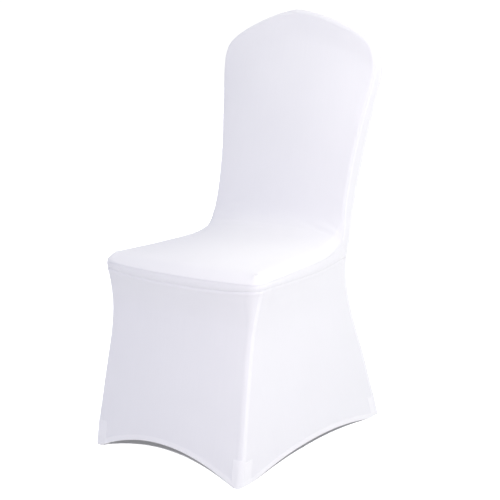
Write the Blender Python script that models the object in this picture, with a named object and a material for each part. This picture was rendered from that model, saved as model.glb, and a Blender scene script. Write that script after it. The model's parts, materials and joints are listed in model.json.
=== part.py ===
"""Stretch chair cover for a crown-back banquet chair, in the shape it takes when it is fitted.

The cover is hollow: the chair is not part of it. It faces -Y and stands on z = 0. Metres, +Z up.
Every panel is a grid of points on the cover's outer face, drawn between its seams, and gets its
thickness inwards. Panels that share a seam share its points and its normals, so the cut edges of
two neighbours stay parallel and a constant gap apart.
"""
import bpy
import numpy as np
from math import pi, radians

THICKNESS = 0.002        # the knit, doubled where it is stretched over padding
SEAM_GAP = 0.0003        # between the cut edges of two panels
SHADE = (0.90, 0.90, 0.93, 1.0)
ROUGHNESS = 0.75

# Rounding of the padding under the cloth, from the seam over to the flat of the panel
SEAT_ROLL = 0.021
BACK_ROLL = 0.007
REAR_ROLL = 0.009
ROLL_STEPS = 3
SEAT_TURN = radians(77)  # the crowned face goes on from here
BACK_TURN = radians(84)
SEAT_TO_BACK = (0.41, 0.07)     # heights over which the seat's edge becomes the backrest's
FOOT_ROUND = 0.013       # the front leg's edge
TOP_ROUND = (0.030, 0.022)      # the same edge at the seat, across and along
CORNER_DROP = 0.08       # from the seat down to where the leg's edge begins
CORNER_STEPS = 4         # segments round a front corner, two on each side of its middle

# How far the padding crowns the cloth
SEAT_CROWN = 0.017
SEAT_RISE = 0.160        # the dome's rise from the front edge
COVE_CROWN = 0.020
BACK_CROWN = 0.009
REAR_CROWN = 0.006
BAND_CROWN = 0.001
LEVEL_SEAT = (-0.15, 0.12)      # along Y, where the crown starts to follow the side seams
COVE_HEIGHT = 0.425
COVE_SPREAD = 0.02
BACK_START = (0.43, 0.09)       # heights over which the cove becomes the backrest
CROWN_FLATTENS = (0.74, 0.12)   # heights over which the backrest's crown goes down
CROWN_LOSS = 0.8
SEAT_FRONT_ROWS = 7      # rows before the junction where the front edge's curve has gone
BACK_CROWN_ROWS = 4      # rows above the junction where the crown's curve starts
REAR_TOP = (0.62, 0.38)  # the same for the rear panel, as shares of its height
REAR_HEM = (0.0, 0.25)

# The hem's arches: height in the middle, and half the span as a share of the panel's half width
FRONT_ARCH = (0.0495, 0.96)
SIDE_ARCH = (0.025, 0.86)
REAR_ARCH = (0.045, 0.95)

# Foot pockets: reach across and along from the corner at the sole and above it, and heights
SOLE_REACH = (0.022, 0.020)
POCKET_REACH = (0.034, 0.029)
POCKET_LEVELS = (0.0, 0.010, 0.034, 0.058)
POCKET_WALL = 0.0015
POCKET_CLEAR = 0.0006    # from the skirt's inner face to the pocket's outer face
POCKET_ROUND = 0.005
POCKET_STEPS = 3         # segments round each of its corners

SAMPLES = 24             # points of a dense curve for each row of its table
TINY = 1e-9
SHARP = 0.7              # radians, for shading
TWO_SEAMS = 1.9          # two unit shifts that add up to less meet at a corner
CORNER_SHIFT = 1.25      # which then moves further to keep the gap

# Upper seam, right half: x, y, z, from the middle of the seat's front edge, round the seat's
# corner, back to the cove, up the backrest and over the shoulder to the crown's peak
UPPER_SEAM = [
    (0.0000, -0.2160, 0.3955),
    (0.0700, -0.2145, 0.3955),
    (0.1300, -0.2110, 0.3965),
    (0.1720, -0.2065, 0.3975),
    (0.1935, -0.1995, 0.3980),
    (0.2025, -0.1840, 0.3985),
    (0.2005, -0.1500, 0.3985),
    (0.1985, -0.1100, 0.3985),
    (0.1940, -0.0300, 0.3995),
    (0.1900, 0.0500, 0.4015),
    (0.1875, 0.1000, 0.4070),
    (0.1860, 0.1320, 0.4185),
    (0.1845, 0.1510, 0.4340),
    (0.1825, 0.1610, 0.4560),
    (0.1780, 0.1720, 0.5000),
    (0.1810, 0.1960, 0.6000),
    (0.1930, 0.2185, 0.7000),
    (0.2035, 0.2365, 0.7700),
    (0.2065, 0.2430, 0.8050),
    (0.2020, 0.2435, 0.8380),
    (0.1900, 0.2430, 0.8620),
    (0.1650, 0.2420, 0.8820),
    (0.1250, 0.2415, 0.9020),
    (0.0800, 0.2425, 0.9190),
    (0.0350, 0.2445, 0.9315),
    (0.0000, 0.2455, 0.9365),
]
FRONT_ARC, CORNER, CORNER_END, SEAT_MID, JUNCTION, LOW_BACK, HIGH_BACK, SHOULDER, SLOPE, PEAK = (
    3, 4, 5, 9, 12, 14, 17, 20, 21, 25)
# Stations of the seam, and the segments between each and the next
FRONT_RUNS = [(0, FRONT_ARC, 6), (FRONT_ARC, CORNER, 2)]
SIDE_RUNS = [(CORNER, CORNER_END, 2), (CORNER_END, SEAT_MID, 7), (SEAT_MID, JUNCTION, 7)]
BACK_RUNS = [(JUNCTION, LOW_BACK, 4), (LOW_BACK, HIGH_BACK, 8), (HIGH_BACK, SHOULDER, 6)]
CROWN_RUNS = [(SHOULDER, SLOPE, 3), (SLOPE, PEAK, 5)]

# Lower seam of the seat, right half: x, y, z at the same stations, down to the junction
LOWER_SEAM = [
    (0.0000, -0.2155, 0.3795),
    (0.0700, -0.2140, 0.3795),
    (0.1300, -0.2105, 0.3815),
    (0.1720, -0.2060, 0.3850),
    (0.1930, -0.1990, 0.3865),
    (0.2015, -0.1840, 0.3870),
    (0.2000, -0.1500, 0.3865),
    (0.1980, -0.1100, 0.3845),
    (0.1935, -0.0300, 0.3815),
    (0.1900, 0.0500, 0.3810),
    (0.1880, 0.1000, 0.3845),
    (0.1870, 0.1320, 0.3880),
    (0.1860, 0.1510, 0.3895),
]

# Width of the band round the backrest, from seam to seam, against the height of its front seam
BAND_WIDTH = [
    (0.434, 0.0310),
    (0.456, 0.0290),
    (0.500, 0.0350),
    (0.600, 0.0390),
    (0.700, 0.0355),
    (0.770, 0.0290),
    (0.930, 0.0280),
]
BAND_DIRECTION = (0.0, 0.973, -0.23)
BAND_STEPS = 3

# Rear seam below the band, right side: x, y, z from the seat's lower seam to the floor
REAR_SEAM = [
    (0.1835, 0.1710, 0.3895),
    (0.1855, 0.1655, 0.3500),
    (0.1890, 0.1720, 0.3000),
    (0.1950, 0.1840, 0.2500),
    (0.2015, 0.2005, 0.2000),
    (0.2085, 0.2165, 0.1500),
    (0.2150, 0.2305, 0.1000),
    (0.2215, 0.2445, 0.0500),
    (0.2275, 0.2570, 0.0000),
]
# Front corner seam, right side: x, y, z from the seat's lower seam to the floor
CORNER_SEAM = [
    (0.2015, -0.1840, 0.3870),
    (0.1975, -0.1840, 0.3700),
    (0.1925, -0.1840, 0.3500),
    (0.1850, -0.1885, 0.3000),
    (0.1840, -0.1955, 0.2500),
    (0.1860, -0.2050, 0.2000),
    (0.1885, -0.2150, 0.1500),
    (0.1910, -0.2240, 0.1000),
    (0.1935, -0.2330, 0.0500),
    (0.1940, -0.2400, 0.0000),
]
SKIRT_ROWS = 10
BAND_ROWS = 2            # across the seat band, and so down the end of the backrest band


def unit(vectors):
    """The same vectors at length 1."""
    return vectors / np.maximum(np.linalg.norm(vectors, axis=-1, keepdims=True), TINY)


def smooth_curve(points, mirrored=False):
    """Dense centripetal Catmull-Rom curve; row i of the table is point i * SAMPLES."""
    points = np.asarray(points, float)
    flip = np.array([-1.0, 1.0, 1.0])
    before = points[1] * flip if mirrored else 2 * points[0] - points[1]
    after = points[-2] * flip if mirrored and points[-1][0] == 0 else 2 * points[-1] - points[-2]
    chain = np.vstack([before, points, after])
    pieces = []
    for a, b, c, d in zip(chain, chain[1:], chain[2:], chain[3:]):
        spans = [max(np.linalg.norm(end - start), TINY) ** 0.5 for start, end in ((a, b), (b, c), (c, d))]
        knots = np.cumsum([0.0] + spans)
        t = np.linspace(knots[1], knots[2], SAMPLES, endpoint=False)[:, None]
        ab = a + (b - a) * (t - knots[0]) / (knots[1] - knots[0])
        bc = b + (c - b) * (t - knots[1]) / (knots[2] - knots[1])
        cd = c + (d - c) * (t - knots[2]) / (knots[3] - knots[2])
        abc = ab + (bc - ab) * (t - knots[0]) / (knots[2] - knots[0])
        bcd = bc + (cd - bc) * (t - knots[1]) / (knots[3] - knots[1])
        pieces.append(abc + (bcd - abc) * (t - knots[1]) / (knots[2] - knots[1]))
    return np.vstack(pieces + [points[-1:]])


def lengths(path):
    """Distance along a path at each of its points, as a share of the whole."""
    walked = np.concatenate([[0.0], np.cumsum(np.linalg.norm(np.diff(path, axis=0), axis=1))])
    return walked / walked[-1]


def resample(path, steps):
    """The same path with this many equal steps."""
    share = lengths(path)
    return np.stack([np.interp(np.linspace(0, 1, steps + 1), share, path[:, k]) for k in range(3)], 1)


def stations(points, runs):
    """Points of a seam that starts on the middle plane, each run of it cut into its own equal steps."""
    dense = smooth_curve(points, mirrored=True)
    parts = [resample(dense[a * SAMPLES:b * SAMPLES + 1], steps) for a, b, steps in runs]
    return np.vstack([parts[0]] + [part[1:] for part in parts[1:]])


def mirror(points):
    """The same points on the left side."""
    return points * np.array([-1.0, 1.0, 1.0])


def tangents(path):
    """Direction of travel at each point."""
    return unit(np.gradient(path, axis=0))


def read_table(rows, at):
    """Value of a two-column table at each place."""
    rows = np.asarray(rows)
    return np.interp(at, rows[:, 0], rows[:, 1])


def ramp(place, start, span):
    """0 to 1 with soft ends, from start on over the span."""
    x = np.clip((place - start) / span, 0, 1)
    return x * x * (3 - 2 * x)


def roll(seam, outward, normal, radius, turn):
    """Rings from a seam, which is ring 0, over the padding's rounded edge as far as it turns."""
    radius = np.broadcast_to(radius, len(seam))[:, None]
    turn = np.broadcast_to(turn, len(seam))[:, None]
    rings = []
    for k in range(ROLL_STEPS + 1):
        angle = turn * k / ROLL_STEPS
        rings.append(seam + normal * radius * np.sin(angle) - outward * radius * (1 - np.cos(angle)))
    return rings


def membrane(left, right, bottom, top):
    """Coons patch between four seams, rows from bottom to top, columns from left to right."""
    u = (lengths(bottom) + lengths(top))[None, :, None] / 2
    v = (lengths(left) + lengths(right))[:, None, None] / 2
    across = left[:, None] * (1 - u) + right[:, None] * u
    along = bottom[None] * (1 - v) + top[None] * v
    low = bottom[0] * (1 - u) + bottom[-1] * u
    high = top[0] * (1 - u) + top[-1] * u
    return across + along - low * (1 - v) - high * v


class Seams:
    """The seams of the right half, all from the tables."""

    def __init__(self):
        self.front = stations(UPPER_SEAM, FRONT_RUNS)
        self.side = stations(UPPER_SEAM, SIDE_RUNS)
        self.back = stations(UPPER_SEAM, BACK_RUNS)
        self.crown = stations(UPPER_SEAM, CROWN_RUNS)
        self.low_front = stations(LOWER_SEAM, FRONT_RUNS)
        self.low_side = stations(LOWER_SEAM, SIDE_RUNS)
        self.rear_back = self.behind(self.back)
        self.rear_crown = self.behind(self.crown)
        self.rear_low = resample(smooth_curve(REAR_SEAM), SKIRT_ROWS)
        self.corner = resample(smooth_curve(CORNER_SEAM), SKIRT_ROWS)
        self.band_end = straight(self.low_side[-1], self.back[0], BAND_ROWS)
        self.rear_end = straight(self.rear_low[0], self.rear_back[0], BAND_ROWS)

    def behind(self, front):
        """The rear seam of the backrest, one band width behind its front seam."""
        return front + read_table(BAND_WIDTH, front[:, 2])[:, None] * unit(np.array(BAND_DIRECTION))


def straight(start, end, steps):
    """Points on the line from start to end."""
    t = np.linspace(0, 1, steps + 1)[:, None]
    return start * (1 - t) + end * t


def both_halves(right_half):
    """A seam that ends on the middle plane, run on across it: right side first."""
    return np.vstack([right_half, mirror(right_half[-2::-1])])


def panel_grid(ring, rows, columns):
    """Borders of a four-sided panel from its closed ring: bottom, right, top, left, anticlockwise."""
    bottom = ring[:columns + 1]
    right = ring[columns:columns + rows + 1]
    top = ring[columns + rows:2 * columns + rows + 1][::-1]
    left = np.vstack([ring[2 * columns + rows:], ring[:1]])[::-1]
    return bottom, right, top, left


def inner_panel_sheet(seams):
    """The one panel of the backrest's front, the cove and the seat, as rings and rows of points."""
    ring = np.vstack([mirror(seams.front[::-1])[:-1], seams.front[:-1], seams.side[:-1], seams.back[:-1],
                      both_halves(seams.crown)[:-1], mirror(seams.back[::-1])[:-1],
                      mirror(seams.side[::-1])[:-1]])
    columns = 2 * (len(seams.front) - 1)
    rows = len(seams.side) + len(seams.back) - 2
    side = np.vstack([seams.side[:-1], seams.back])
    along = unit(tangents(side) * np.array([0.0, 1.0, 1.0]))
    side_normal = np.stack([0 * along[:, 0], -along[:, 2], along[:, 1]], 1)
    level = ramp(side[:, 1], *LEVEL_SEAT)[:, None]
    side_normal = unit(side_normal * level + np.array([0.0, 0.0, 1.0]) * (1 - level))
    face = side_normal[-1]
    normals = np.vstack([np.tile([0.0, 0.0, 1.0], (columns, 1)), side_normal[:-1],
                         np.tile(face, (columns, 1)), side_normal[::-1][:-1]])
    path = np.vstack([ring[-1:], ring, ring[:1]])
    outward = unit(np.cross(unit(path[2:] - path[:-2]), normals))
    on_seat = 1 - ramp(ring[:, 2], *SEAT_TO_BACK)
    radius = BACK_ROLL + (SEAT_ROLL - BACK_ROLL) * on_seat
    turn = BACK_TURN + (SEAT_TURN - BACK_TURN) * on_seat
    rings = roll(ring, outward, normals, radius, turn)
    bottom, right, top, left = panel_grid(rings[-1], rows, columns)
    u_low = bottom[:, 0] / bottom[-1, 0]
    u_high = top[:, 0] / top[-1, 0]
    share = lengths(right)
    walked = share * np.linalg.norm(np.diff(right, axis=0), axis=1).sum()
    grid = np.zeros((rows + 1, columns + 1, 3))
    seat_rows = len(seams.side) - 1
    crown_start = share[seat_rows + BACK_CROWN_ROWS]
    crown_part = ramp(share, crown_start, 1 - crown_start)
    front_part = 1 - ramp(share, 0, share[seat_rows - SEAT_FRONT_ROWS])
    front_curve = bottom - between(bottom[0], bottom[-1], u_low)
    crown_curve = top - between(top[0], top[-1], u_high)
    for i in range(rows + 1):
        u = u_low * (1 - share[i]) + u_high * share[i]
        row = between(left[i], right[i], u) + front_curve * front_part[i] + crown_curve * crown_part[i]
        grid[i] = row + side_normal[i] * crown_height(side[i], walked[i]) * (1 - u[:, None] ** 2)
    grid[0], grid[-1], grid[:, 0], grid[:, -1] = bottom, top, left, right
    return rings, grid


def between(left, right, u):
    """Points on the line from left, where u is -1, to right, where u is 1."""
    w = (u[:, None] + 1) / 2
    return left * (1 - w) + right * w


def crown_height(place, walked):
    """How far the padding lifts the middle of a row, from the front edge to the crown."""
    rise = SEAT_CROWN * (1 - (1 - min(walked / SEAT_RISE, 1.0)) ** 2)
    cove = (COVE_CROWN - SEAT_CROWN) * np.exp(-((place[2] - COVE_HEIGHT) / COVE_SPREAD) ** 2)
    back = ramp(place[2], *BACK_START)
    top = 1 - ramp(place[2], *CROWN_FLATTENS) * CROWN_LOSS
    return (rise + cove) * (1 - back) + BACK_CROWN * back * top


def arch(height_and_share, offset, half_span):
    """Height of the hem at an offset from the middle of its panel."""
    height, share = height_and_share
    return height * np.clip(1 - (offset / (share * half_span)) ** 2, 0, None)


def front_skirt_sheet(seams):
    """Front panel with the turns round both front legs, rows from the hem to the seam."""
    half = np.vstack([seams.low_front, seams.low_side[1:3]])
    top = np.vstack([mirror(half[::-1]), half[1:]])
    corner = seams.corner[::-1]
    near_seat = 1 - ramp(seams.corner[0, 2] - corner[:, 2], 0, CORNER_DROP)
    round_x = FOOT_ROUND + (TOP_ROUND[0] - FOOT_ROUND) * near_seat
    round_y = FOOT_ROUND + (TOP_ROUND[1] - FOOT_ROUND) * near_seat
    angles = np.linspace(0, pi / 2, CORNER_STEPS + 1)
    turn = np.stack([corner[:, None, 0] - round_x[:, None] * (1 - np.cos(angles)),
                     corner[:, None, 1] - round_y[:, None] * np.sin(angles),
                     np.repeat(corner[:, 2:3], CORNER_STEPS + 1, 1)], -1)
    turn[-1] = top[::-1][:CORNER_STEPS + 1]
    right, left = turn[:, -1], mirror(turn[:, -1])
    flat_top = top[CORNER_STEPS:-CORNER_STEPS]
    w = lengths(flat_top)[:, None]
    hem = left[0] * (1 - w) + right[0] * w
    hem[:, 2] += arch(FRONT_ARCH, hem[:, 0], seams.corner[-1, 0])
    flat = membrane(left, right, hem, flat_top)
    return np.concatenate([mirror(turn)[:, :-1], flat, turn[:, ::-1][:, 1:]], 1)


def side_skirt_sheet(seams):
    """Right side panel, columns from the front corner to the rear seam, rows from the hem up."""
    band_bottom = straight(seams.low_side[-1], seams.rear_low[0], BAND_STEPS)
    top = np.vstack([seams.low_side[2:], band_bottom[1:]])
    front, rear = seams.corner[::-1], seams.rear_low[::-1]
    w = lengths(top)[:, None]
    hem = front[0] * (1 - w) + rear[0] * w
    middle, half = (front[0, 1] + rear[0, 1]) / 2, (rear[0, 1] - front[0, 1]) / 2
    hem[:, 2] += arch(SIDE_ARCH, hem[:, 1] - middle, half)
    return membrane(front, rear, hem, top)


def seat_band_sheet(seams):
    """The band round the seat, columns from the left junction round to the right one, rows up."""
    high_half = np.vstack([seams.front, seams.side[1:]])
    low_half = np.vstack([seams.low_front, seams.low_side[1:]])
    high = np.vstack([mirror(high_half[::-1]), high_half[1:]])
    low = np.vstack([mirror(low_half[::-1]), low_half[1:]])
    out = unit(np.cross(tangents(low), np.array([0.0, 0.0, 1.0])))
    rows = []
    for k in range(BAND_ROWS + 1):
        t = k / BAND_ROWS
        rows.append(low * (1 - t) + high * t + out * BAND_CROWN * 4 * t * (1 - t))
    grid = np.stack(rows)
    ends = straight(seams.low_side[-1], seams.back[0], BAND_ROWS)
    grid[:, -1], grid[:, 0] = ends, mirror(ends)
    return grid


def back_band_sheet(seams):
    """The band round the backrest, columns from its front seam to its rear seam, rows up and over."""
    front = np.vstack([seams.band_end[:-1], seams.back[:-1], both_halves(seams.crown)[:-1],
                       mirror(seams.back[::-1])[:-1], mirror(seams.band_end[::-1])])
    rear = np.vstack([seams.rear_end[:-1], seams.rear_back[:-1], both_halves(seams.rear_crown)[:-1],
                      mirror(seams.rear_back[::-1])[:-1], mirror(seams.rear_end[::-1])])
    t = np.linspace(0, 1, BAND_STEPS + 1)[None, :, None]
    return front[:, None] * (1 - t) + rear[:, None] * t


def outer_back_sheet(seams):
    """The rear panel from the hem to the crown, with its rolled edges, seen from behind."""
    side = np.vstack([seams.rear_low[::-1][:-1], seams.rear_end[:-1], seams.rear_back])
    crown = both_halves(seams.rear_crown)
    along = unit(tangents(side) * np.array([0.0, 1.0, 1.0]))
    normal = np.stack([0 * along[:, 0], along[:, 2], -along[:, 1]], 1)
    path = np.vstack([side[:-1], crown, mirror(side[::-1])[1:]])
    normals = np.vstack([normal[:-1], np.tile(normal[-1], (len(crown), 1)), normal[::-1][1:]])
    outward = unit(np.cross(unit(np.gradient(path, axis=0)), -normals))
    rings = roll(path, outward, normals, REAR_ROLL, BACK_TURN)
    for ring in rings:
        ring[0, 2], ring[-1, 2] = 0.0, 0.0
    inner = rings[-1]
    rows, columns = len(side) - 1, len(crown) - 1
    right, top, left = inner[:rows + 1], inner[rows:rows + columns + 1], inner[rows + columns:][::-1]
    u_top = top[:, 0] / top[0, 0]
    share = lengths(side)
    crown_part = ramp(share, *REAR_TOP)
    hem_part = 1 - ramp(share, *REAR_HEM)
    crown_curve = top - between(top[-1], top[0], u_top)
    grid = np.zeros((rows + 1, columns + 1, 3))
    for i in range(rows + 1):
        row = between(left[i], right[i], u_top) + crown_curve * crown_part[i]
        row[:, 2] += arch(REAR_ARCH, row[:, 0], side[0, 0]) * hem_part[i]
        bulge = REAR_CROWN * np.sin(pi * share[i])
        grid[i] = row + normal[i] * bulge * (1 - u_top[:, None] ** 2)
    grid[-1], grid[:, 0], grid[:, -1] = top, right, left
    return rings, grid


class Panel:
    """One panel of cloth: points of its outer face, quads that face outwards, and its borders."""

    def __init__(self, name):
        self.name = name
        self.points = []
        self.index = {}
        self.quads = []

    def add(self, point):
        """Index of a point, shared with the same point given before."""
        key = tuple(np.round(point, 6))
        if key not in self.index:
            self.index[key] = len(self.points)
            self.points.append(np.asarray(point, float))
        return self.index[key]

    def grid(self, points, flip=False):
        """Quads of a grid of points whose rows go up and whose columns go right, seen from outside."""
        for i in range(len(points) - 1):
            for j in range(len(points[0]) - 1):
                corners = [points[i][j], points[i][j + 1], points[i + 1][j + 1], points[i + 1][j]]
                quad = [self.add(corner) for corner in corners]
                if len(set(quad)) > 2:
                    quad = list(dict.fromkeys(quad))
                    self.quads.append(turned(quad) if flip else quad)
        return self

    def finish(self):
        """Arrays, vertex normals and the border's loop."""
        self.points = np.array(self.points)
        self.normals = np.zeros_like(self.points)
        for quad in self.quads:
            a, b, c = (self.points[k] for k in (quad[0], quad[1], quad[2]))
            area = np.cross(b - a, c - a)
            if len(quad) == 4:
                area = area + np.cross(c - a, self.points[quad[3]] - a)
            for k in quad:
                self.normals[k] += area
        edges = {(a, b) for quad in self.quads for a, b in zip(quad, quad[1:] + quad[:1])}
        self.border = {a: b for a, b in edges if (b, a) not in edges}
        return self


def turned(face):
    """The same face looking the other way, with the same first corner and so the same diagonal."""
    return face[:1] + face[:0:-1]


def share_normals(panels):
    """Give the points on a seam the mean normal of all the panels that meet there."""
    total = {}
    for panel in panels:
        for key, k in panel.index.items():
            total[key] = total.get(key, 0) + panel.normals[k]
    for panel in panels:
        for key, k in panel.index.items():
            panel.normals[k] = unit(total[key])


def seam_points(panels):
    """Keys of the points that two or more panels share."""
    count = {}
    for panel in panels:
        for key in panel.index:
            count[key] = count.get(key, 0) + 1
    return {key for key, number in count.items() if number > 1}


def draw_back(panel, shared):
    """Move the panel's border off its seams by half the gap, in the cloth's own plane."""
    before = {b: a for a, b in panel.border.items()}
    keys = {k: key for key, k in panel.index.items()}
    moved = panel.points.copy()
    for k, after in panel.border.items():
        if keys[k] not in shared:
            continue
        shift = np.zeros(3)
        for a, b in ((before[k], k), (k, after)):
            if keys[a] in shared and keys[b] in shared:
                edge = unit(panel.points[b] - panel.points[a])
                shift = shift + unit(np.cross(panel.normals[k], edge))
        size = np.linalg.norm(shift)
        if size > TINY:
            reach = SEAM_GAP / 2 * (CORNER_SHIFT if size < TWO_SEAMS else 1.0)
            moved[k] = panel.points[k] + shift / size * reach
    panel.points = moved


def solid(name, vertices, faces, origin):
    """A smooth-shaded object from its points and outward faces."""
    mesh = bpy.data.meshes.new(name)
    mesh.from_pydata([tuple(point - origin) for point in vertices], [], faces)
    mesh.shade_smooth()
    mesh.set_sharp_from_angle(angle=SHARP)
    mesh.materials.append(cloth())
    part = bpy.data.objects.new(name, mesh)
    bpy.context.scene.collection.objects.link(part)
    return part


def cloth():
    """White stretch knit."""
    material = bpy.data.materials.get("white stretch knit")
    if material is None:
        material = bpy.data.materials.new("white stretch knit")
        material.use_nodes = True
        shader = material.node_tree.nodes["Principled BSDF"]
        shader.inputs["Base Color"].default_value = SHADE
        shader.inputs["Roughness"].default_value = ROUGHNESS
    return material


def thicken(panel):
    """Closed solid of a panel: outer face, inner face and the rim between them."""
    count = len(panel.points)
    vertices = np.vstack([panel.points, panel.points - panel.normals * THICKNESS])
    vertices[:, 2] = np.maximum(vertices[:, 2], 0.0)
    faces = [list(quad) for quad in panel.quads]
    faces += [[k + count for k in turned(quad)] for quad in panel.quads]
    faces += [[b, a, a + count, b + count] for a, b in panel.border.items()]
    return vertices, faces


def cover_panels():
    """Every panel of the cover, as surfaces."""
    seams = Seams()
    rings, seat = inner_panel_sheet(seams)
    inner = Panel("inner_panel").grid(seat)
    closed = [np.vstack([ring, ring[:1]]) for ring in rings]
    inner.grid(np.stack(closed))
    rear_rings, rear = outer_back_sheet(seams)
    outer = Panel("outer_back").grid(rear)
    outer.grid(np.stack(rear_rings), flip=True)
    side = side_skirt_sheet(seams)
    panels = [
        inner,
        Panel("back_band").grid(back_band_sheet(seams)),
        Panel("seat_band").grid(seat_band_sheet(seams)),
        Panel("front_skirt").grid(front_skirt_sheet(seams)),
        Panel("right_skirt").grid(side),
        Panel("left_skirt").grid(mirror(side), flip=True),
        outer,
    ]
    return [panel.finish() for panel in panels]


def pocket_ring(round_radius, reach, inset, slant):
    """Rounded rectangle about the centre of the cover's rounded corner, in local axes.

    Local x and y point from the pocket to the cover's outer corner; slant follows the side panel.
    """
    outermost = round_radius - THICKNESS - POCKET_CLEAR
    radius = outermost - inset
    far = POCKET_ROUND - inset
    low_x = outermost - reach[0] + POCKET_ROUND
    low_y = outermost - reach[1] + POCKET_ROUND
    centres = [(0.0, 0.0, radius), (low_x, radius - far, far), (low_x, low_y, far),
               (radius - far, low_y, far)]
    points = []
    for quarter, (x, y, r) in enumerate(centres):
        for k in range(POCKET_STEPS + 1):
            angle = pi / 2 * (quarter + k / POCKET_STEPS)
            points.append((x + r * np.cos(angle), y + r * np.sin(angle)))
    ring = np.array(points)
    ring[:, 0] += slant * ring[:, 1]
    return ring


def pocket_solid(seam, round_radius, slant, rear):
    """Cup in the right front or right rear corner: outer face, inner face and sole."""
    sign_y = 1.0 if rear else -1.0
    faces, vertices, shells = [], [], []
    for inset in (0.0, POCKET_WALL):
        shell = []
        for level, z in enumerate(POCKET_LEVELS):
            height = z + inset if level == 0 else z
            x = np.interp(z, seam[::-1, 2], seam[::-1, 0]) - round_radius
            y = np.interp(z, seam[::-1, 2], seam[::-1, 1])
            reach = SOLE_REACH if level == 0 else POCKET_REACH
            ring = pocket_ring(round_radius, reach, inset, slant * sign_y)
            start = len(vertices)
            vertices += [(x + px, y + sign_y * py, height) for px, py in ring]
            shell.append(list(range(start, start + len(ring))))
        shells.append(shell)
    outer, inner = shells
    count = len(outer[0])
    for shell, inward in ((outer, False), (inner, True)):
        for low, high in zip(shell, shell[1:]):
            for k in range(count):
                quad = [low[k], low[(k + 1) % count], high[(k + 1) % count], high[k]]
                faces.append(turned(quad) if inward else quad)
    faces.append(turned(outer[0]))
    faces.append(list(inner[0]))
    for k in range(count):
        faces.append([outer[-1][k], outer[-1][(k + 1) % count], inner[-1][(k + 1) % count], inner[-1][k]])
    if not rear:
        faces = [turned(face) for face in faces]
    return np.array(vertices), faces


def foot_pockets():
    """The four cups in the hem's corners."""
    seams = Seams()
    front, rear = seams.corner[-1], seams.rear_low[-1]
    slant = (rear[0] - front[0]) / (rear[1] - front[1])
    cups = {}
    for place, seam, radius, at_rear in (("front", seams.corner, FOOT_ROUND, False),
                                         ("rear", seams.rear_low, REAR_ROLL, True)):
        vertices, faces = pocket_solid(seam, radius, slant, at_rear)
        cups[f"foot_pocket_{place}_right"] = (vertices, faces)
        cups[f"foot_pocket_{place}_left"] = (mirror(vertices), [turned(face) for face in faces])
    return cups


def main():
    """Clear the scene and build the cover."""
    for item in list(bpy.data.objects):
        bpy.data.objects.remove(item)
    panels = cover_panels()
    share_normals(panels)
    shared = seam_points(panels)
    for panel in panels:
        draw_back(panel, shared)
    solids = {panel.name: thicken(panel) for panel in panels}
    solids.update(foot_pockets())
    every = np.vstack([vertices for vertices, faces in solids.values()])
    origin = np.array([0.0, (every[:, 1].min() + every[:, 1].max()) / 2, every[:, 2].min()])
    for name, (vertices, faces) in solids.items():
        solid(name, vertices, faces, origin)


main()
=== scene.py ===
"""Fitted stretch cover of a crown-back banquet chair, dressed in knit cloth with its seams and hem.

Every panel is a grid of points on the cover's outer face, drawn between the same seams as the
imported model, at a finer pitch. Relief for the seams, hem, pockets and creases is added along the
normals, and each panel then gets its thickness inwards. Metres, +Z up, the seat faces -Y.
"""
import json
from math import cos, pi, radians, sin

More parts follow.
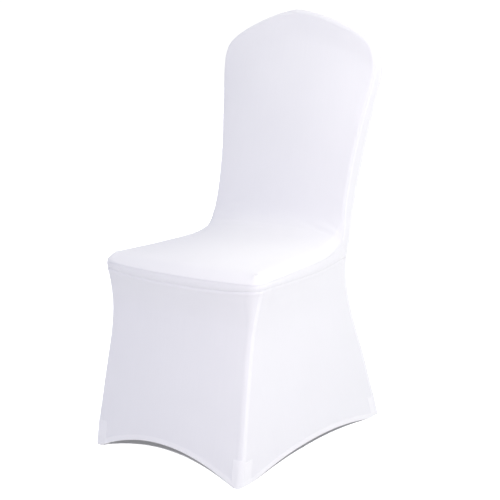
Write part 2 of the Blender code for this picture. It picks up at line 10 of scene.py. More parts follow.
import bpy
import numpy as np
from bpy.props import FloatProperty, FloatVectorProperty, PointerProperty
from bpy.types import Operator, Panel, PropertyGroup
from mathutils import Vector
from mathutils.bvhtree import BVHTree
from mathutils.kdtree import KDTree
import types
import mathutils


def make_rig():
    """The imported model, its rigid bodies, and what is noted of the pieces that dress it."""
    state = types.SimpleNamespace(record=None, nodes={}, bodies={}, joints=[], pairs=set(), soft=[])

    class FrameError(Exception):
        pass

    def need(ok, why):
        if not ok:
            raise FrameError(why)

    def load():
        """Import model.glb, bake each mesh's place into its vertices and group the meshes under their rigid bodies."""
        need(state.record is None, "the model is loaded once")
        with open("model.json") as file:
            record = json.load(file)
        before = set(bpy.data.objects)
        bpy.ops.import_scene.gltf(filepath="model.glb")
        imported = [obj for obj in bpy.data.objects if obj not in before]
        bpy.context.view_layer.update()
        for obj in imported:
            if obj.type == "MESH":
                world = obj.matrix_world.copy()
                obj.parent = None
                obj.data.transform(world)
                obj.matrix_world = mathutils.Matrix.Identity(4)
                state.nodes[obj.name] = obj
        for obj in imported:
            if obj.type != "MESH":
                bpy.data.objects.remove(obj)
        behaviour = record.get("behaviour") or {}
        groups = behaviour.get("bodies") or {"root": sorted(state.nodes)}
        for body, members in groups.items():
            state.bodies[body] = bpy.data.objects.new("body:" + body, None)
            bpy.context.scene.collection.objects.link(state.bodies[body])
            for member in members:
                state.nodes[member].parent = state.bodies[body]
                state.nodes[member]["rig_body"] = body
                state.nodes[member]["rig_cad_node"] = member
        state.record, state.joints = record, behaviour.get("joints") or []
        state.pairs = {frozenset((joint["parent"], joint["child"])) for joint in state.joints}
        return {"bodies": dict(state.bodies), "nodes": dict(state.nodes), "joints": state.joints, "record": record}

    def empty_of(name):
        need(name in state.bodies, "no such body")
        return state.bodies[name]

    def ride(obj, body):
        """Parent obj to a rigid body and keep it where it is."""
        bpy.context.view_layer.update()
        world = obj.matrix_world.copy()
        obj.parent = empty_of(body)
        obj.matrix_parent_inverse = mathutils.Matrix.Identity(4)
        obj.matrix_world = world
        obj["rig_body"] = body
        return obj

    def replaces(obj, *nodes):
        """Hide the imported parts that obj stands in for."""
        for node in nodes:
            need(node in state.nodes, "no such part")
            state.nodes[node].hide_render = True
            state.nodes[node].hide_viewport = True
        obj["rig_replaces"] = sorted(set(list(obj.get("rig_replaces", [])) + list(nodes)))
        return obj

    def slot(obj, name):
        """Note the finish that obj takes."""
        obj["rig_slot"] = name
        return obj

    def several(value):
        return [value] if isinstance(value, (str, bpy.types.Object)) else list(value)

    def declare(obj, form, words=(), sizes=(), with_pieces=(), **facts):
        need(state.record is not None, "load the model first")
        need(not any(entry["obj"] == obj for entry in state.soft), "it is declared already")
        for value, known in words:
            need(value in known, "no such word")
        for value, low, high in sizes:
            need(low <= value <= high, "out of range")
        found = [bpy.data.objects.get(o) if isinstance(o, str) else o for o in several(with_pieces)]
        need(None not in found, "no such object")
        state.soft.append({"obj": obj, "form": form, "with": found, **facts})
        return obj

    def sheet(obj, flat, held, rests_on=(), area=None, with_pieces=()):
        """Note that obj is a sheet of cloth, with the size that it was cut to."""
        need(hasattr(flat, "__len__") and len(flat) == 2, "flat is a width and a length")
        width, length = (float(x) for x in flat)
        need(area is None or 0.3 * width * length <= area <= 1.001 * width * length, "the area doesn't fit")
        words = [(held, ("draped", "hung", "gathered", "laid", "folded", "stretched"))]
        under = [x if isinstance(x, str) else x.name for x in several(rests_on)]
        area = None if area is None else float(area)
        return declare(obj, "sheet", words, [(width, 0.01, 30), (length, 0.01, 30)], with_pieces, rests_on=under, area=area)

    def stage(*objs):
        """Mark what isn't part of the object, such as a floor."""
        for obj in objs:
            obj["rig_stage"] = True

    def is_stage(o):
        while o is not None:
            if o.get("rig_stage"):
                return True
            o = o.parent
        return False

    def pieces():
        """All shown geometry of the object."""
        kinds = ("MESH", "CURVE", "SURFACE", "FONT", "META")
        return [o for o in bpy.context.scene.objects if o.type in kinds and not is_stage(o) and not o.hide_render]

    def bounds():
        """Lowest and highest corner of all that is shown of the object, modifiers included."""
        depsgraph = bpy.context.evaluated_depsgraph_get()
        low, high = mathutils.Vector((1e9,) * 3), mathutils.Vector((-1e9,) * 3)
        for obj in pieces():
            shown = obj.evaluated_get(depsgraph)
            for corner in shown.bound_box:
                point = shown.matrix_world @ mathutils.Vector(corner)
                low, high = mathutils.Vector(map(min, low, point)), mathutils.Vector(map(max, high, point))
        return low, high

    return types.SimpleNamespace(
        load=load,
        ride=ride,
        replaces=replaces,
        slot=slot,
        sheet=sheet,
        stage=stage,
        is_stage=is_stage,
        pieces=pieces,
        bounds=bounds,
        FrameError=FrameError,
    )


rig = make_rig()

bl_info = {
    "name": "Stretch Chair Cover",
    "version": (1, 0, 0),
    "blender": (4, 5, 0),
    "location": "3D View > Sidebar > Chair Cover",
    "description": "Builds a fitted stretch chair cover around its packed model",
    "category": "Object",
}

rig.load()
CAD_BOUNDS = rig.bounds()
SIZE_FILE = "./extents.json"

FINE = 7                 # rows of the scene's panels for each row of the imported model's
MM = 0.001
TINY = 1e-9
SAMPLES = 24             # points of a dense curve for each row of its table
ORIGIN_Y = 0.01529947    # from the tables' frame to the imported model's

# Rounding of the padding under the cloth, from the seam over to the flat of the panel
SEAT_ROLL = 0.021
BACK_ROLL = 0.007
REAR_ROLL = 0.009
SEAT_TURN = radians(77)
BACK_TURN = radians(84)
SEAT_TO_BACK = (0.41, 0.07)      # height where the seat's rounding gives way, and over what
# Turns of the front panel round the legs: at the foot, at the seat across and along, over what
# drop the one becomes the other and the turn leaves the seat's seam, and how tight the turn is
FOOT_ROUND = 0.013
TOP_ROUND = (0.030, 0.022)
CORNER_DROP = 0.08
TURN_DROP = 0.04
TURN_POWER = 0.78
# Where the rings of a rolled edge lie, as shares of its turn
ROLL_SHARES = (0, 0.02, 0.05, 0.09, 0.14, 0.21, 0.30, 0.41, 0.54, 0.68, 0.84, 1.0)

# How far the padding crowns the cloth, and the heights, depths and rows where that changes
SEAT_CROWN = 0.017
SEAT_RISE = 0.160
COVE_CROWN = 0.020
BACK_CROWN = 0.009
REAR_CROWN = 0.006
BAND_CROWN = 0.001
LEVEL_SEAT = (-0.15, 0.12)
COVE_HEIGHT = 0.425
COVE_SPREAD = 0.02
BACK_START = (0.43, 0.09)
CROWN_FLATTENS = (0.74, 0.12)
CROWN_LOSS = 0.8
SEAT_FRONT_ROWS = 7
BACK_CROWN_ROWS = 4
REAR_TOP = (0.62, 0.38)
REAR_HEM = (0.0, 0.25)
REAR_REACH = 0.02        # along the rear seam, to both sides of where its direction is taken

# The hem's arches: height in the middle, and half the span as a share of the panel's half width
FRONT_ARCH = (0.0495, 0.96)
SIDE_ARCH = (0.025, 0.86)
REAR_ARCH = (0.045, 0.95)

# Upper seam, right half: x, y, z, from the middle of the seat's front edge, round the seat's
# corner, back to the cove, up the backrest and over the shoulder to the crown's peak
UPPER_SEAM = [
    (0.0000, -0.2160, 0.3955),
    (0.0700, -0.2145, 0.3955),
    (0.1300, -0.2110, 0.3965),
    (0.1720, -0.2065, 0.3975),
    (0.1935, -0.1995, 0.3980),
    (0.2025, -0.1840, 0.3985),
    (0.2005, -0.1500, 0.3985),
    (0.1985, -0.1100, 0.3985),
    (0.1940, -0.0300, 0.3995),
    (0.1900, 0.0500, 0.4015),
    (0.1875, 0.1000, 0.4070),
    (0.1860, 0.1320, 0.4185),
    (0.1845, 0.1510, 0.4340),
    (0.1825, 0.1610, 0.4560),
    (0.1780, 0.1720, 0.5000),
    (0.1810, 0.1960, 0.6000),
    (0.1930, 0.2185, 0.7000),
    (0.2035, 0.2365, 0.7700),
    (0.2065, 0.2430, 0.8050),
    (0.2020, 0.2435, 0.8380),
    (0.1900, 0.2430, 0.8620),
    (0.1650, 0.2420, 0.8820),
    (0.1250, 0.2415, 0.9020),
    (0.0800, 0.2425, 0.9190),
    (0.0350, 0.2445, 0.9315),
    (0.0000, 0.2455, 0.9365),
]
FRONT_ARC, CORNER, CORNER_END, SEAT_MID, JUNCTION, LOW_BACK, HIGH_BACK, SHOULDER, SLOPE, PEAK = (
    3, 4, 5, 9, 12, 14, 17, 20, 21, 25)
# Runs between those stations: first, last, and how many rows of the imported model's panels
FRONT_RUNS = [(0, FRONT_ARC, 6), (FRONT_ARC, CORNER, 2)]
SIDE_RUNS = [(CORNER, CORNER_END, 2), (CORNER_END, SEAT_MID, 7), (SEAT_MID, JUNCTION, 7)]
BACK_RUNS = [(JUNCTION, LOW_BACK, 4), (LOW_BACK, HIGH_BACK, 8), (HIGH_BACK, SHOULDER, 6)]
CROWN_RUNS = [(SHOULDER, SLOPE, 3), (SLOPE, PEAK, 5)]

# Lower seam of the seat, right half: x, y, z at the same stations, down to the junction
LOWER_SEAM = [
    (0.0000, -0.2155, 0.3795),
    (0.0700, -0.2140, 0.3795),
    (0.1300, -0.2105, 0.3815),
    (0.1720, -0.2060, 0.3850),
    (0.1930, -0.1990, 0.3865),
    (0.2015, -0.1840, 0.3870),
    (0.2000, -0.1500, 0.3865),
    (0.1980, -0.1100, 0.3845),
    (0.1935, -0.0300, 0.3815),
    (0.1900, 0.0500, 0.3810),
    (0.1880, 0.1000, 0.3845),
    (0.1870, 0.1320, 0.3880),
    (0.1860, 0.1510, 0.3895),
]

# Width of the band round the backrest, from seam to seam, against the height of its front seam
BAND_WIDTH = [
    (0.434, 0.0310),
    (0.456, 0.0290),
    (0.500, 0.0350),
    (0.600, 0.0390),
    (0.700, 0.0355),
    (0.770, 0.0290),
    (0.930, 0.0280),
]
BAND_DIRECTION = (0.0, 0.973, -0.23)

# Rear seam below the band, right side: x, y, z from the seat's lower seam to the floor
REAR_SEAM = [
    (0.1835, 0.1710, 0.3895),
    (0.1855, 0.1655, 0.3500),
    (0.1890, 0.1720, 0.3000),
    (0.1950, 0.1840, 0.2500),
    (0.2015, 0.2005, 0.2000),
    (0.2085, 0.2165, 0.1500),
    (0.2150, 0.2305, 0.1000),
    (0.2215, 0.2445, 0.0500),
    (0.2275, 0.2570, 0.0000),
]
# Front corner seam, right side: x, y, z from the seat's lower seam to the floor
CORNER_SEAM = [
    (0.2015, -0.1840, 0.3870),
    (0.1975, -0.1840, 0.3700),
    (0.1925, -0.1840, 0.3500),
    (0.1850, -0.1885, 0.3000),
    (0.1840, -0.1955, 0.2500),
    (0.1860, -0.2050, 0.2000),
    (0.1885, -0.2150, 0.1500),
    (0.1910, -0.2240, 0.1000),
    (0.1935, -0.2330, 0.0500),
    (0.1940, -0.2400, 0.0000),
]

# Where rows crowd: distances from a seam and from the hem, in millimetres, and the pitch between
SEAM_ROWS = (0, 0.5, 1.1, 1.9, 2.9, 4.1, 5.6, 7.5, 10.0, 13.0)
HEM_ROWS = (0, 0.8, 2.0, 3.6, 5.4, 7.2, 8.6, 9.5, 10.3, 11.2, 12.4, 14.4, 17.5)
ROW_PITCH = 4.2
PRINT_HEIGHTS = (48.0, 55.5)
PRINT_STEPS = (-0.8, -0.1, 0.4, 0.9, 1.6)
SEAM_COLUMNS = (0, 0.14, 0.32, 0.55, 0.85, 1.25, 1.75, 2.35)
END_ROWS = 12
STRIP_ROWS = 6           # rows of a band that the sewn edges take up
# Columns from the corner's seam to the seat's side, round a leg, and across the band's foot
CORNER_COLUMNS = 2 * FINE
TURN_COLUMNS = 4 * FINE
FOOT_COLUMNS = 3 * FINE
# Columns made finer where a pocket's edge shows: first, last, parts
FRONT_FINER = (TURN_COLUMNS, TURN_COLUMNS + 6, 6)
SIDE_FINER = (4, 10, 4)
BAND_SHARES = (0, 0.03, 0.07, 0.13, 0.2, 0.29, 0.4, 0.5, 0.6, 0.71, 0.8, 0.87, 0.93, 0.97, 1.0)

# Foot pockets: reach across and along from the corner at the sole and above it, height of the
# sole's rounding, levels of the wall, and the wall's thickness, clearance and rounding
SOLE_REACH = (0.022, 0.020)
POCKET_REACH = (0.034, 0.029)
POCKET_SOLE = 0.010
POCKET_LEVELS = (0.0, 0.0006, 0.002, 0.004, 0.007, 0.010, 0.016, 0.024, 0.034, 0.044, 0.052, 0.0565,
                 0.058)
POCKET_WALL = 0.0012
POCKET_CLEAR = 0.0008
POCKET_ROUND = 0.005
POCKET_STEPS = 8
POCKET_INSIDE = 2 * MM   # from the cover's outer face to a pocket, without their clearance
POCKET_TUCK = 1.2 * MM
TUCK_HEIGHT = 3 * MM
# Soft waves in a pocket's wall: depth, phase round and up the wall, and the heights where they start
POCKET_SAG = 0.175 * MM
SAG_ROUND = 1.9
SAG_UP = 210
SAG_FROM = (8 * MM, 20 * MM)
# The pocket's knit: length round it, and from level to level
POCKET_GIRTH = 0.11
LEVEL_KNIT = 2 * MM

# The knit's face: slant of a loop and its share of the height, and the pocket's knit against it
LOOP_SLANT = 0.5
LOOP_SHARE = 0.3
POCKET_KNIT = (1.5, 2.0)
# Unevenness of the cloth: patches for each metre, and streaks across and along the wales
PATCH_SCALE = 9.0
STREAK_SCALE = (420.0, 9.0, 1.0)
# Roughness at its least and its span
CLOTH_ROUGHNESS = (0.56, 0.12)
THREAD_ROUGHNESS = (0.35, 0.2)
CLOTH_SPECULAR = 0.3
SHEEN_ROUGHNESS = 0.45
THREAD_SHEEN = 0.2
WHITE = (1.0, 1.0, 1.0)
# Thread: scale and depth of its ply, how a stitch bows as shares of its thickness, and its sides
PLY_SCALE = 900.0
PLY_DEPTH = 0.0001
STITCH_SINK = 0.9
STITCH_RISE = 1.5
STITCH_RESOLUTION = 4
THREAD_SIDES = 5
STITCH_INSET = 0.0015

# Soft lights: name, place in the room and diameter, and the point that they face
LIGHTS = (
    ("key_light", (1.0, -0.6, 1.5), 0.7),
    ("near_light", (0.7, -0.95, 0.8), 0.5),
    ("side_light", (2.6, 0.3, 0.9), 1.2),
    ("top_light", (0.3, 0.2, 3.2), 2.6),
    ("rear_light", (1.6, 2.8, 1.8), 2.0),
)
AIM = (0.0, 0.0, 0.5)
# The floor's light: width of its disc, and its turn from the camera's direction
FLOOR_LIGHT_DISC = radians(3)
FLOOR_LIGHT_TURN = radians(-2)
FLOOR_SIDES = 96
FLOOR_ROUGHNESS = 0.9
GLOW_COLOUR = (0.95, 0.95, 1.0)
ROOM_GLOW = 1.05
SENSOR_WIDTH = 36.0


# Shapes

def unit(vectors):
    """The same vectors at length 1."""
    return vectors / np.maximum(np.linalg.norm(vectors, axis=-1, keepdims=True), TINY)


def smooth_curve(points, mirrored=False):
    """Dense centripetal Catmull-Rom curve; row i of the table is point i * SAMPLES."""
    points = np.asarray(points, float)
    flip = np.array([-1.0, 1.0, 1.0])
    before = points[1] * flip if mirrored else 2 * points[0] - points[1]
    after = points[-2] * flip if mirrored and points[-1][0] == 0 else 2 * points[-1] - points[-2]
    chain = np.vstack([before, points, after])
    pieces = []
    for a, b, c, d in zip(chain, chain[1:], chain[2:], chain[3:]):
        spans = [max(np.linalg.norm(end - start), TINY) ** 0.5
                 for start, end in ((a, b), (b, c), (c, d))]
        knots = np.cumsum([0.0] + spans)
        t = np.linspace(knots[1], knots[2], SAMPLES, endpoint=False)[:, None]
        ab = a + (b - a) * (t - knots[0]) / (knots[1] - knots[0])
        bc = b + (c - b) * (t - knots[1]) / (knots[2] - knots[1])
        cd = c + (d - c) * (t - knots[2]) / (knots[3] - knots[2])
        abc = ab + (bc - ab) * (t - knots[0]) / (knots[2] - knots[0])
        bcd = bc + (cd - bc) * (t - knots[1]) / (knots[3] - knots[1])
        pieces.append(abc + (bcd - abc) * (t - knots[1]) / (knots[2] - knots[1]))
    return np.vstack(pieces + [points[-1:]])


def walked(path):
    """Distance along a path at each of its points."""
    return np.concatenate([[0.0], np.cumsum(np.linalg.norm(np.diff(path, axis=0), axis=1))])


def lengths(path):
    """Distance along a path at each of its points, as a share of the whole."""
    distance = walked(path)
    return distance / distance[-1]


def at_shares(path, shares):
    """Points of a path at these shares of its length."""
    own = lengths(path)
    return np.stack([np.interp(shares, own, path[:, k]) for k in range(3)], 1)


def resample(path, steps):
    """The same path with this many equal steps."""
    return at_shares(path, np.linspace(0, 1, steps + 1))


def stations(points, runs):
    """Points of a seam that starts on the middle plane, each run of it cut into its own equal steps."""
    dense = smooth_curve(points, mirrored=True)
    parts = [resample(dense[a * SAMPLES:b * SAMPLES + 1], steps * FINE) for a, b, steps in runs]
    return np.vstack([parts[0]] + [part[1:] for part in parts[1:]])


def mirror(points):
    """The same points on the left side."""
    return points * np.array([-1.0, 1.0, 1.0])


def both_halves(right_half):
    """A seam that ends on the middle plane, run on across it: right side first."""
    return np.vstack([right_half, mirror(right_half[-2::-1])])


def across(right_half):
    """A seam that starts on the middle plane, from its left end to its right end."""
    return np.vstack([mirror(right_half[::-1]), right_half[1:]])


def read_table(rows, at):
    """Value of a two-column table at each place."""
    rows = np.asarray(rows)
    return np.interp(at, rows[:, 0], rows[:, 1])


def ramp(place, start, span):
    """0 to 1 with soft ends, from start on over the span."""
    x = np.clip((place - start) / span, 0, 1)
    return x * x * (3 - 2 * x)


def straight(start, end, steps):
    """Points on the line from start to end."""
    t = np.linspace(0, 1, steps + 1)[:, None]
    return start * (1 - t) + end * t


def between(left, right, u):
    """Points on the line from left, where u is -1, to right, where u is 1."""
    w = (u[:, None] + 1) / 2
    return left * (1 - w) + right * w


def roll(seam, outward, normal, radius, turn):
    """Rings from a seam, which is ring 0, over the padding's rounded edge as far as it turns."""
    radius = np.broadcast_to(radius, len(seam))[:, None]
    turn = np.broadcast_to(turn, len(seam))[:, None]
    return [seam + normal * radius * np.sin(turn * share)
            - outward * radius * (1 - np.cos(turn * share)) for share in ROLL_SHARES]


def membrane(left, right, bottom, top):
    """Coons patch between four seams, rows from bottom to top, columns from left to right."""
    u = (lengths(bottom) + lengths(top))[None, :, None] / 2
    v = (lengths(left) + lengths(right))[:, None, None] / 2
    low = bottom[0] * (1 - u) + bottom[-1] * u
    high = top[0] * (1 - u) + top[-1] * u
    sides = left[:, None] * (1 - u) + right[:, None] * u
    return sides + (bottom[None] - low) * (1 - v) + (top[None] - high) * v


def crowded(count, start=True, end=True):
    """Column places, counted in columns, that crowd at the seams of a panel."""
    near = np.array(SEAM_COLUMNS)
    first, last = (int(near[-1]) + 1 if start else 0), (count - 1 - int(near[-1]) if end else count)
    middle = np.arange(first, last + 1, dtype=float)
    head = near if start else np.zeros(0)
    tail = (count - near)[::-1] if end else np.zeros(0)
    return np.concatenate([head, middle, tail])


def thickened(places, count, first, last, parts):
    """The same column places with finer ones between two columns, counted from both ends."""
    extra = first + np.arange((last - first) * parts + 1) / parts
    return np.unique(np.round(np.concatenate([places, extra, count - extra]), 6))


def at_columns(grid, places):
    """The grid with its columns at these places between its own."""
    low = np.clip(np.floor(places).astype(int), 0, grid.shape[1] - 2)
    t = (places - low)[None, :, None]
    return grid[:, low] * (1 - t) + grid[:, low + 1] * t


def skirt_shares(length):
    """Shares of a skirt's height, from the seat's seam down to the hem, crowded at both."""
    top = np.array(SEAM_ROWS) * MM
    hem = length - np.array(HEM_ROWS[::-1]) * MM
    steps = int(round((hem[0] - top[-1]) / (ROW_PITCH * MM)))
    middle = np.linspace(top[-1], hem[0], steps + 1)[1:-1]
    prints = [length - (height + step) * MM for height in PRINT_HEIGHTS for step in PRINT_STEPS]
    clear = [row for row in middle if min(abs(row - place) for place in prints) > MM]
    return np.sort(np.concatenate([top, clear, prints, hem])) / length


class Seams:
    """The seams of the right half, all from the tables."""

    def __init__(self):
        self.front = stations(UPPER_SEAM, FRONT_RUNS)
        self.side = stations(UPPER_SEAM, SIDE_RUNS)
        self.back = stations(UPPER_SEAM, BACK_RUNS)
        self.crown = stations(UPPER_SEAM, CROWN_RUNS)
        self.low_front = stations(LOWER_SEAM, FRONT_RUNS)
        self.low_side = stations(LOWER_SEAM, SIDE_RUNS)
        self.rear_back = self.behind(self.back)
        self.rear_crown = self.behind(self.crown)
        rear, corner = smooth_curve(REAR_SEAM), smooth_curve(CORNER_SEAM)
        self.shares = skirt_shares(walked(corner)[-1])
        self.rear_low = at_shares(rear, self.shares)
        self.corner = at_shares(corner, self.shares)
        self.band_end = straight(self.low_side[-1], self.back[0], END_ROWS)
        self.rear_end = straight(self.rear_low[0], self.rear_back[0], END_ROWS)
        self.band_foot = straight(self.low_side[-1], self.rear_low[0], FOOT_COLUMNS)

    def behind(self, front):
        """The rear seam of the backrest, one band width behind its front seam."""
        return front + read_table(BAND_WIDTH, front[:, 2])[:, None] * unit(np.array(BAND_DIRECTION))

    def lines(self):
        """Every seam and hem of the cover as a path to measure from, by name."""
        upper = across(np.vstack([self.front, self.side[1:], self.back[1:], self.crown[1:]]))
        lower = across(np.vstack([self.low_front, self.low_side[1:], self.band_foot[1:]]))
        rear = both_halves(np.vstack([self.rear_low[::-1], self.rear_end[1:], self.rear_back[1:],
                                      self.rear_crown[1:]]))
        front_hem = front_skirt_grid(self)[0]
        side_hem = side_skirt_grid(self)[0]
        return {
            "upper": Line(upper), "lower": Line(lower), "rear": Line(rear),
            "corner": Line(self.corner, mirror(self.corner)),
            "band_end": Line(self.band_end, mirror(self.band_end)),
            "front_hem": Line(front_hem), "side_hem": Line(side_hem, mirror(side_hem)),
            "rear_hem": Line(outer_back_grids(self)[1][0]),
        }


class Line:
    """A seam, hem or crease as dense paths, to measure distances from."""

    spacing = 0.6 * MM

    def __init__(self, *paths):
        dense, places = [], []
        for number, path in enumerate(paths):
            steps = max(2, int(walked(path)[-1] / self.spacing))
            dense.append(resample(path, steps))
            places.append(walked(dense[-1]) + number)
        self.points, self.places = np.vstack(dense), np.concatenate(places)
        self.tree = KDTree(len(self.points))
        for k, point in enumerate(self.points):
            self.tree.insert(point, k)
        self.tree.balance()

    def measure(self, points):
        """Distance of each point from the line, and how far along the line that is."""
        found = [self.tree.find(point)[1:] for point in points]
        near = np.array([k for k, distance in found])
        return np.array([distance for k, distance in found]), self.places[near]


def crown_height(place, distance):
    """How far the padding lifts the middle of a row, from the front edge to the crown."""
    rise = SEAT_CROWN * (1 - (1 - min(distance / SEAT_RISE, 1.0)) ** 2)
    cove = (COVE_CROWN - SEAT_CROWN) * np.exp(-((place[2] - COVE_HEIGHT) / COVE_SPREAD) ** 2)
    cove *= ramp(distance, 0, SEAT_RISE)
    back = ramp(place[2], *BACK_START)
    top = 1 - ramp(place[2], *CROWN_FLATTENS) * CROWN_LOSS
    return (rise + cove) * (1 - back) + BACK_CROWN * back * top


def side_normals(side, sign, reach=0.0):
    """Normals of the padding along a panel's side, square to it in the plane of y and z."""
    along = np.gradient(side, axis=0)
    if reach:
        place = walked(side)
        along = np.stack([np.interp(place + reach, place, own) - np.interp(place - reach, place, own)
                          for own in side.T], 1)
    along = unit(unit(along) * np.array([0.0, 1.0, 1.0]))
    return np.stack([0 * along[:, 0], -sign * along[:, 2], sign * along[:, 1]], 1)


def inner_panel_grids(seams):
    """The one panel of the backrest's front, the cove and the seat, as rings and rows of points."""
    ring = np.vstack([mirror(seams.front[::-1])[:-1], seams.front[:-1], seams.side[:-1],
                      seams.back[:-1], both_halves(seams.crown)[:-1], mirror(seams.back[::-1])[:-1],
                      mirror(seams.side[::-1])[:-1]])
    columns = 2 * (len(seams.front) - 1)
    rows = len(seams.side) + len(seams.back) - 2
    side = np.vstack([seams.side[:-1], seams.back])
    side_normal = side_normals(side, 1.0)
    level = ramp(side[:, 1], *LEVEL_SEAT)[:, None]
    side_normal = unit(side_normal * level + np.array([0.0, 0.0, 1.0]) * (1 - level))
    normals = np.vstack([np.tile([0.0, 0.0, 1.0], (columns, 1)), side_normal[:-1],
                         np.tile(side_normal[-1], (columns, 1)), side_normal[::-1][:-1]])
    path = np.vstack([ring[-1:], ring, ring[:1]])
    outward = unit(np.cross(unit(path[2:] - path[:-2]), normals))
    on_seat = 1 - ramp(ring[:, 2], *SEAT_TO_BACK)
    radius = BACK_ROLL + (SEAT_ROLL - BACK_ROLL) * on_seat
    turn = BACK_TURN + (SEAT_TURN - BACK_TURN) * on_seat
    rings = roll(ring, outward, normals, radius, turn)
    last = rings[-1]
    bottom, right = last[:columns + 1], last[columns:columns + rows + 1]
    top = last[columns + rows:2 * columns + rows + 1][::-1]
    left = np.vstack([last[2 * columns + rows:], last[:1]])[::-1]
    u_low, u_high = bottom[:, 0] / bottom[-1, 0], top[:, 0] / top[-1, 0]
    share, distance = lengths(right), walked(right)
    seat_rows = len(seams.side) - 1
    crown_start = share[seat_rows + BACK_CROWN_ROWS * FINE]
    crown_part = ramp(share, crown_start, 1 - crown_start)
    front_part = 1 - ramp(share, 0, share[seat_rows - SEAT_FRONT_ROWS * FINE])
    front_curve = bottom - between(bottom[0], bottom[-1], u_low)
    crown_curve = top - between(top[0], top[-1], u_high)
    grid = np.zeros((rows + 1, columns + 1, 3))
    for i in range(rows + 1):
        u = u_low * (1 - share[i]) + u_high * share[i]
        row = between(left[i], right[i], u) + front_curve * front_part[i] + crown_curve * crown_part[i]
        grid[i] = row + side_normal[i] * crown_height(side[i], distance[i]) * (1 - u[:, None] ** 2)
    grid[0], grid[-1], grid[:, 0], grid[:, -1] = bottom, top, left, right
    return rings, even_rows(grid, seat_rows)


def even_rows(grid, rows):
    """The grid with its first rows spread evenly along each column, less so towards its two sides."""
    spread = grid.copy()
    even = np.linspace(0, 1, rows + 1)
    for j, column in enumerate(np.linspace(-1, 1, grid.shape[1])):
        own = lengths(grid[:rows + 1, j])
        spread[:rows + 1, j] = at_shares(grid[:rows + 1, j], even + (own - even) * column ** 4)
    return spread


def arch(height_and_share, offset, half_span):
    """Height of the hem at an offset from the middle of its panel."""
    height, share = height_and_share
    return height * np.clip(1 - (offset / (share * half_span)) ** 2, 0, None)


def tight_turn(shares):
    """A quarter turn of size 1, tighter than a circle: how far across and along at each share."""
    angles = np.linspace(0, pi / 2, 200)
    path = np.stack([1 - np.cos(angles) ** TURN_POWER, np.sin(angles) ** TURN_POWER], 1)
    own = lengths(path)
    return np.interp(shares, own, path[:, 0]), np.interp(shares, own, path[:, 1])


def front_skirt_grid(seams):
    """Front panel with the turns round both front legs, rows from the hem to the seam."""
    top = across(np.vstack([seams.low_front, seams.low_side[1:CORNER_COLUMNS + 1]]))
    corner = seams.corner[::-1]
    drop = seams.corner[0, 2] - corner[:, 2]
    near_seat = 1 - ramp(drop, 0, CORNER_DROP)
    round_x = (FOOT_ROUND + (TOP_ROUND[0] - FOOT_ROUND) * near_seat)[:, None]
    round_y = (FOOT_ROUND + (TOP_ROUND[1] - FOOT_ROUND) * near_seat)[:, None]
    top_turn = top[::-1][:TURN_COLUMNS + 1]
    across_turn, along_turn = tight_turn(lengths(top_turn))
    turn = np.stack([corner[:, None, 0] - round_x * across_turn,
                     corner[:, None, 1] - round_y * along_turn,
                     np.repeat(corner[:, 2:3], TURN_COLUMNS + 1, 1)], -1)
    turn += (top_turn - turn[-1])[None] * (1 - np.clip(drop / TURN_DROP, 0, 1))[:, None, None]
    right, left = turn[:, -1], mirror(turn[:, -1])
    flat_top = top[TURN_COLUMNS:-TURN_COLUMNS]
    w = lengths(flat_top)[:, None]
    hem = left[0] * (1 - w) + right[0] * w
    hem[:, 2] += arch(FRONT_ARCH, hem[:, 0], seams.corner[-1, 0])
    flat = membrane(left, right, hem, flat_top)
    whole = np.concatenate([mirror(turn)[:, :-1], flat, turn[:, ::-1][:, 1:]], 1)
    count = whole.shape[1] - 1
    return at_columns(whole, thickened(crowded(count), count, *FRONT_FINER))


def side_skirt_grid(seams):
    """Right side panel, columns from the front corner to the rear seam, rows from the hem up."""
    top = np.vstack([seams.low_side[CORNER_COLUMNS:], seams.band_foot[1:]])
    front, rear = seams.corner[::-1], seams.rear_low[::-1]
    w = lengths(top)[:, None]
    hem = front[0] * (1 - w) + rear[0] * w
    middle, half = (front[0, 1] + rear[0, 1]) / 2, (rear[0, 1] - front[0, 1]) / 2
    hem[:, 2] += arch(SIDE_ARCH, hem[:, 1] - middle, half)
    whole = membrane(front, rear, hem, top)
    count = whole.shape[1] - 1
    return at_columns(whole, thickened(crowded(count), count, *SIDE_FINER))


def seat_band_grid(seams):
    """The band round the seat, columns from the left junction round to the right one, rows up."""
    high = across(np.vstack([seams.front, seams.side[1:]]))
    low = across(np.vstack([seams.low_front, seams.low_side[1:]]))
    out = unit(np.cross(unit(np.gradient(low, axis=0)), np.array([0.0, 0.0, 1.0])))
    rows = [low * (1 - t) + high * t + out * BAND_CROWN * 4 * t * (1 - t) for t in BAND_SHARES]
    grid = np.stack(rows)
    t = np.array(BAND_SHARES)[:, None]
    ends = seams.band_end[0] * (1 - t) + seams.band_end[-1] * t
    grid[:, -1], grid[:, 0] = ends, mirror(ends)
    return at_columns(grid, crowded(grid.shape[1] - 1))


def back_band_grid(seams):
    """The band round the backrest, columns from its front seam to its rear seam, rows up and over."""
    front = both_halves(np.vstack([seams.band_end[:-1], seams.back[:-1], seams.crown]))
    rear = both_halves(np.vstack([seams.rear_end[:-1], seams.rear_back[:-1], seams.rear_crown]))
    t = np.array(BAND_SHARES)[None, :, None]
    return front[:, None] * (1 - t) + rear[:, None] * t


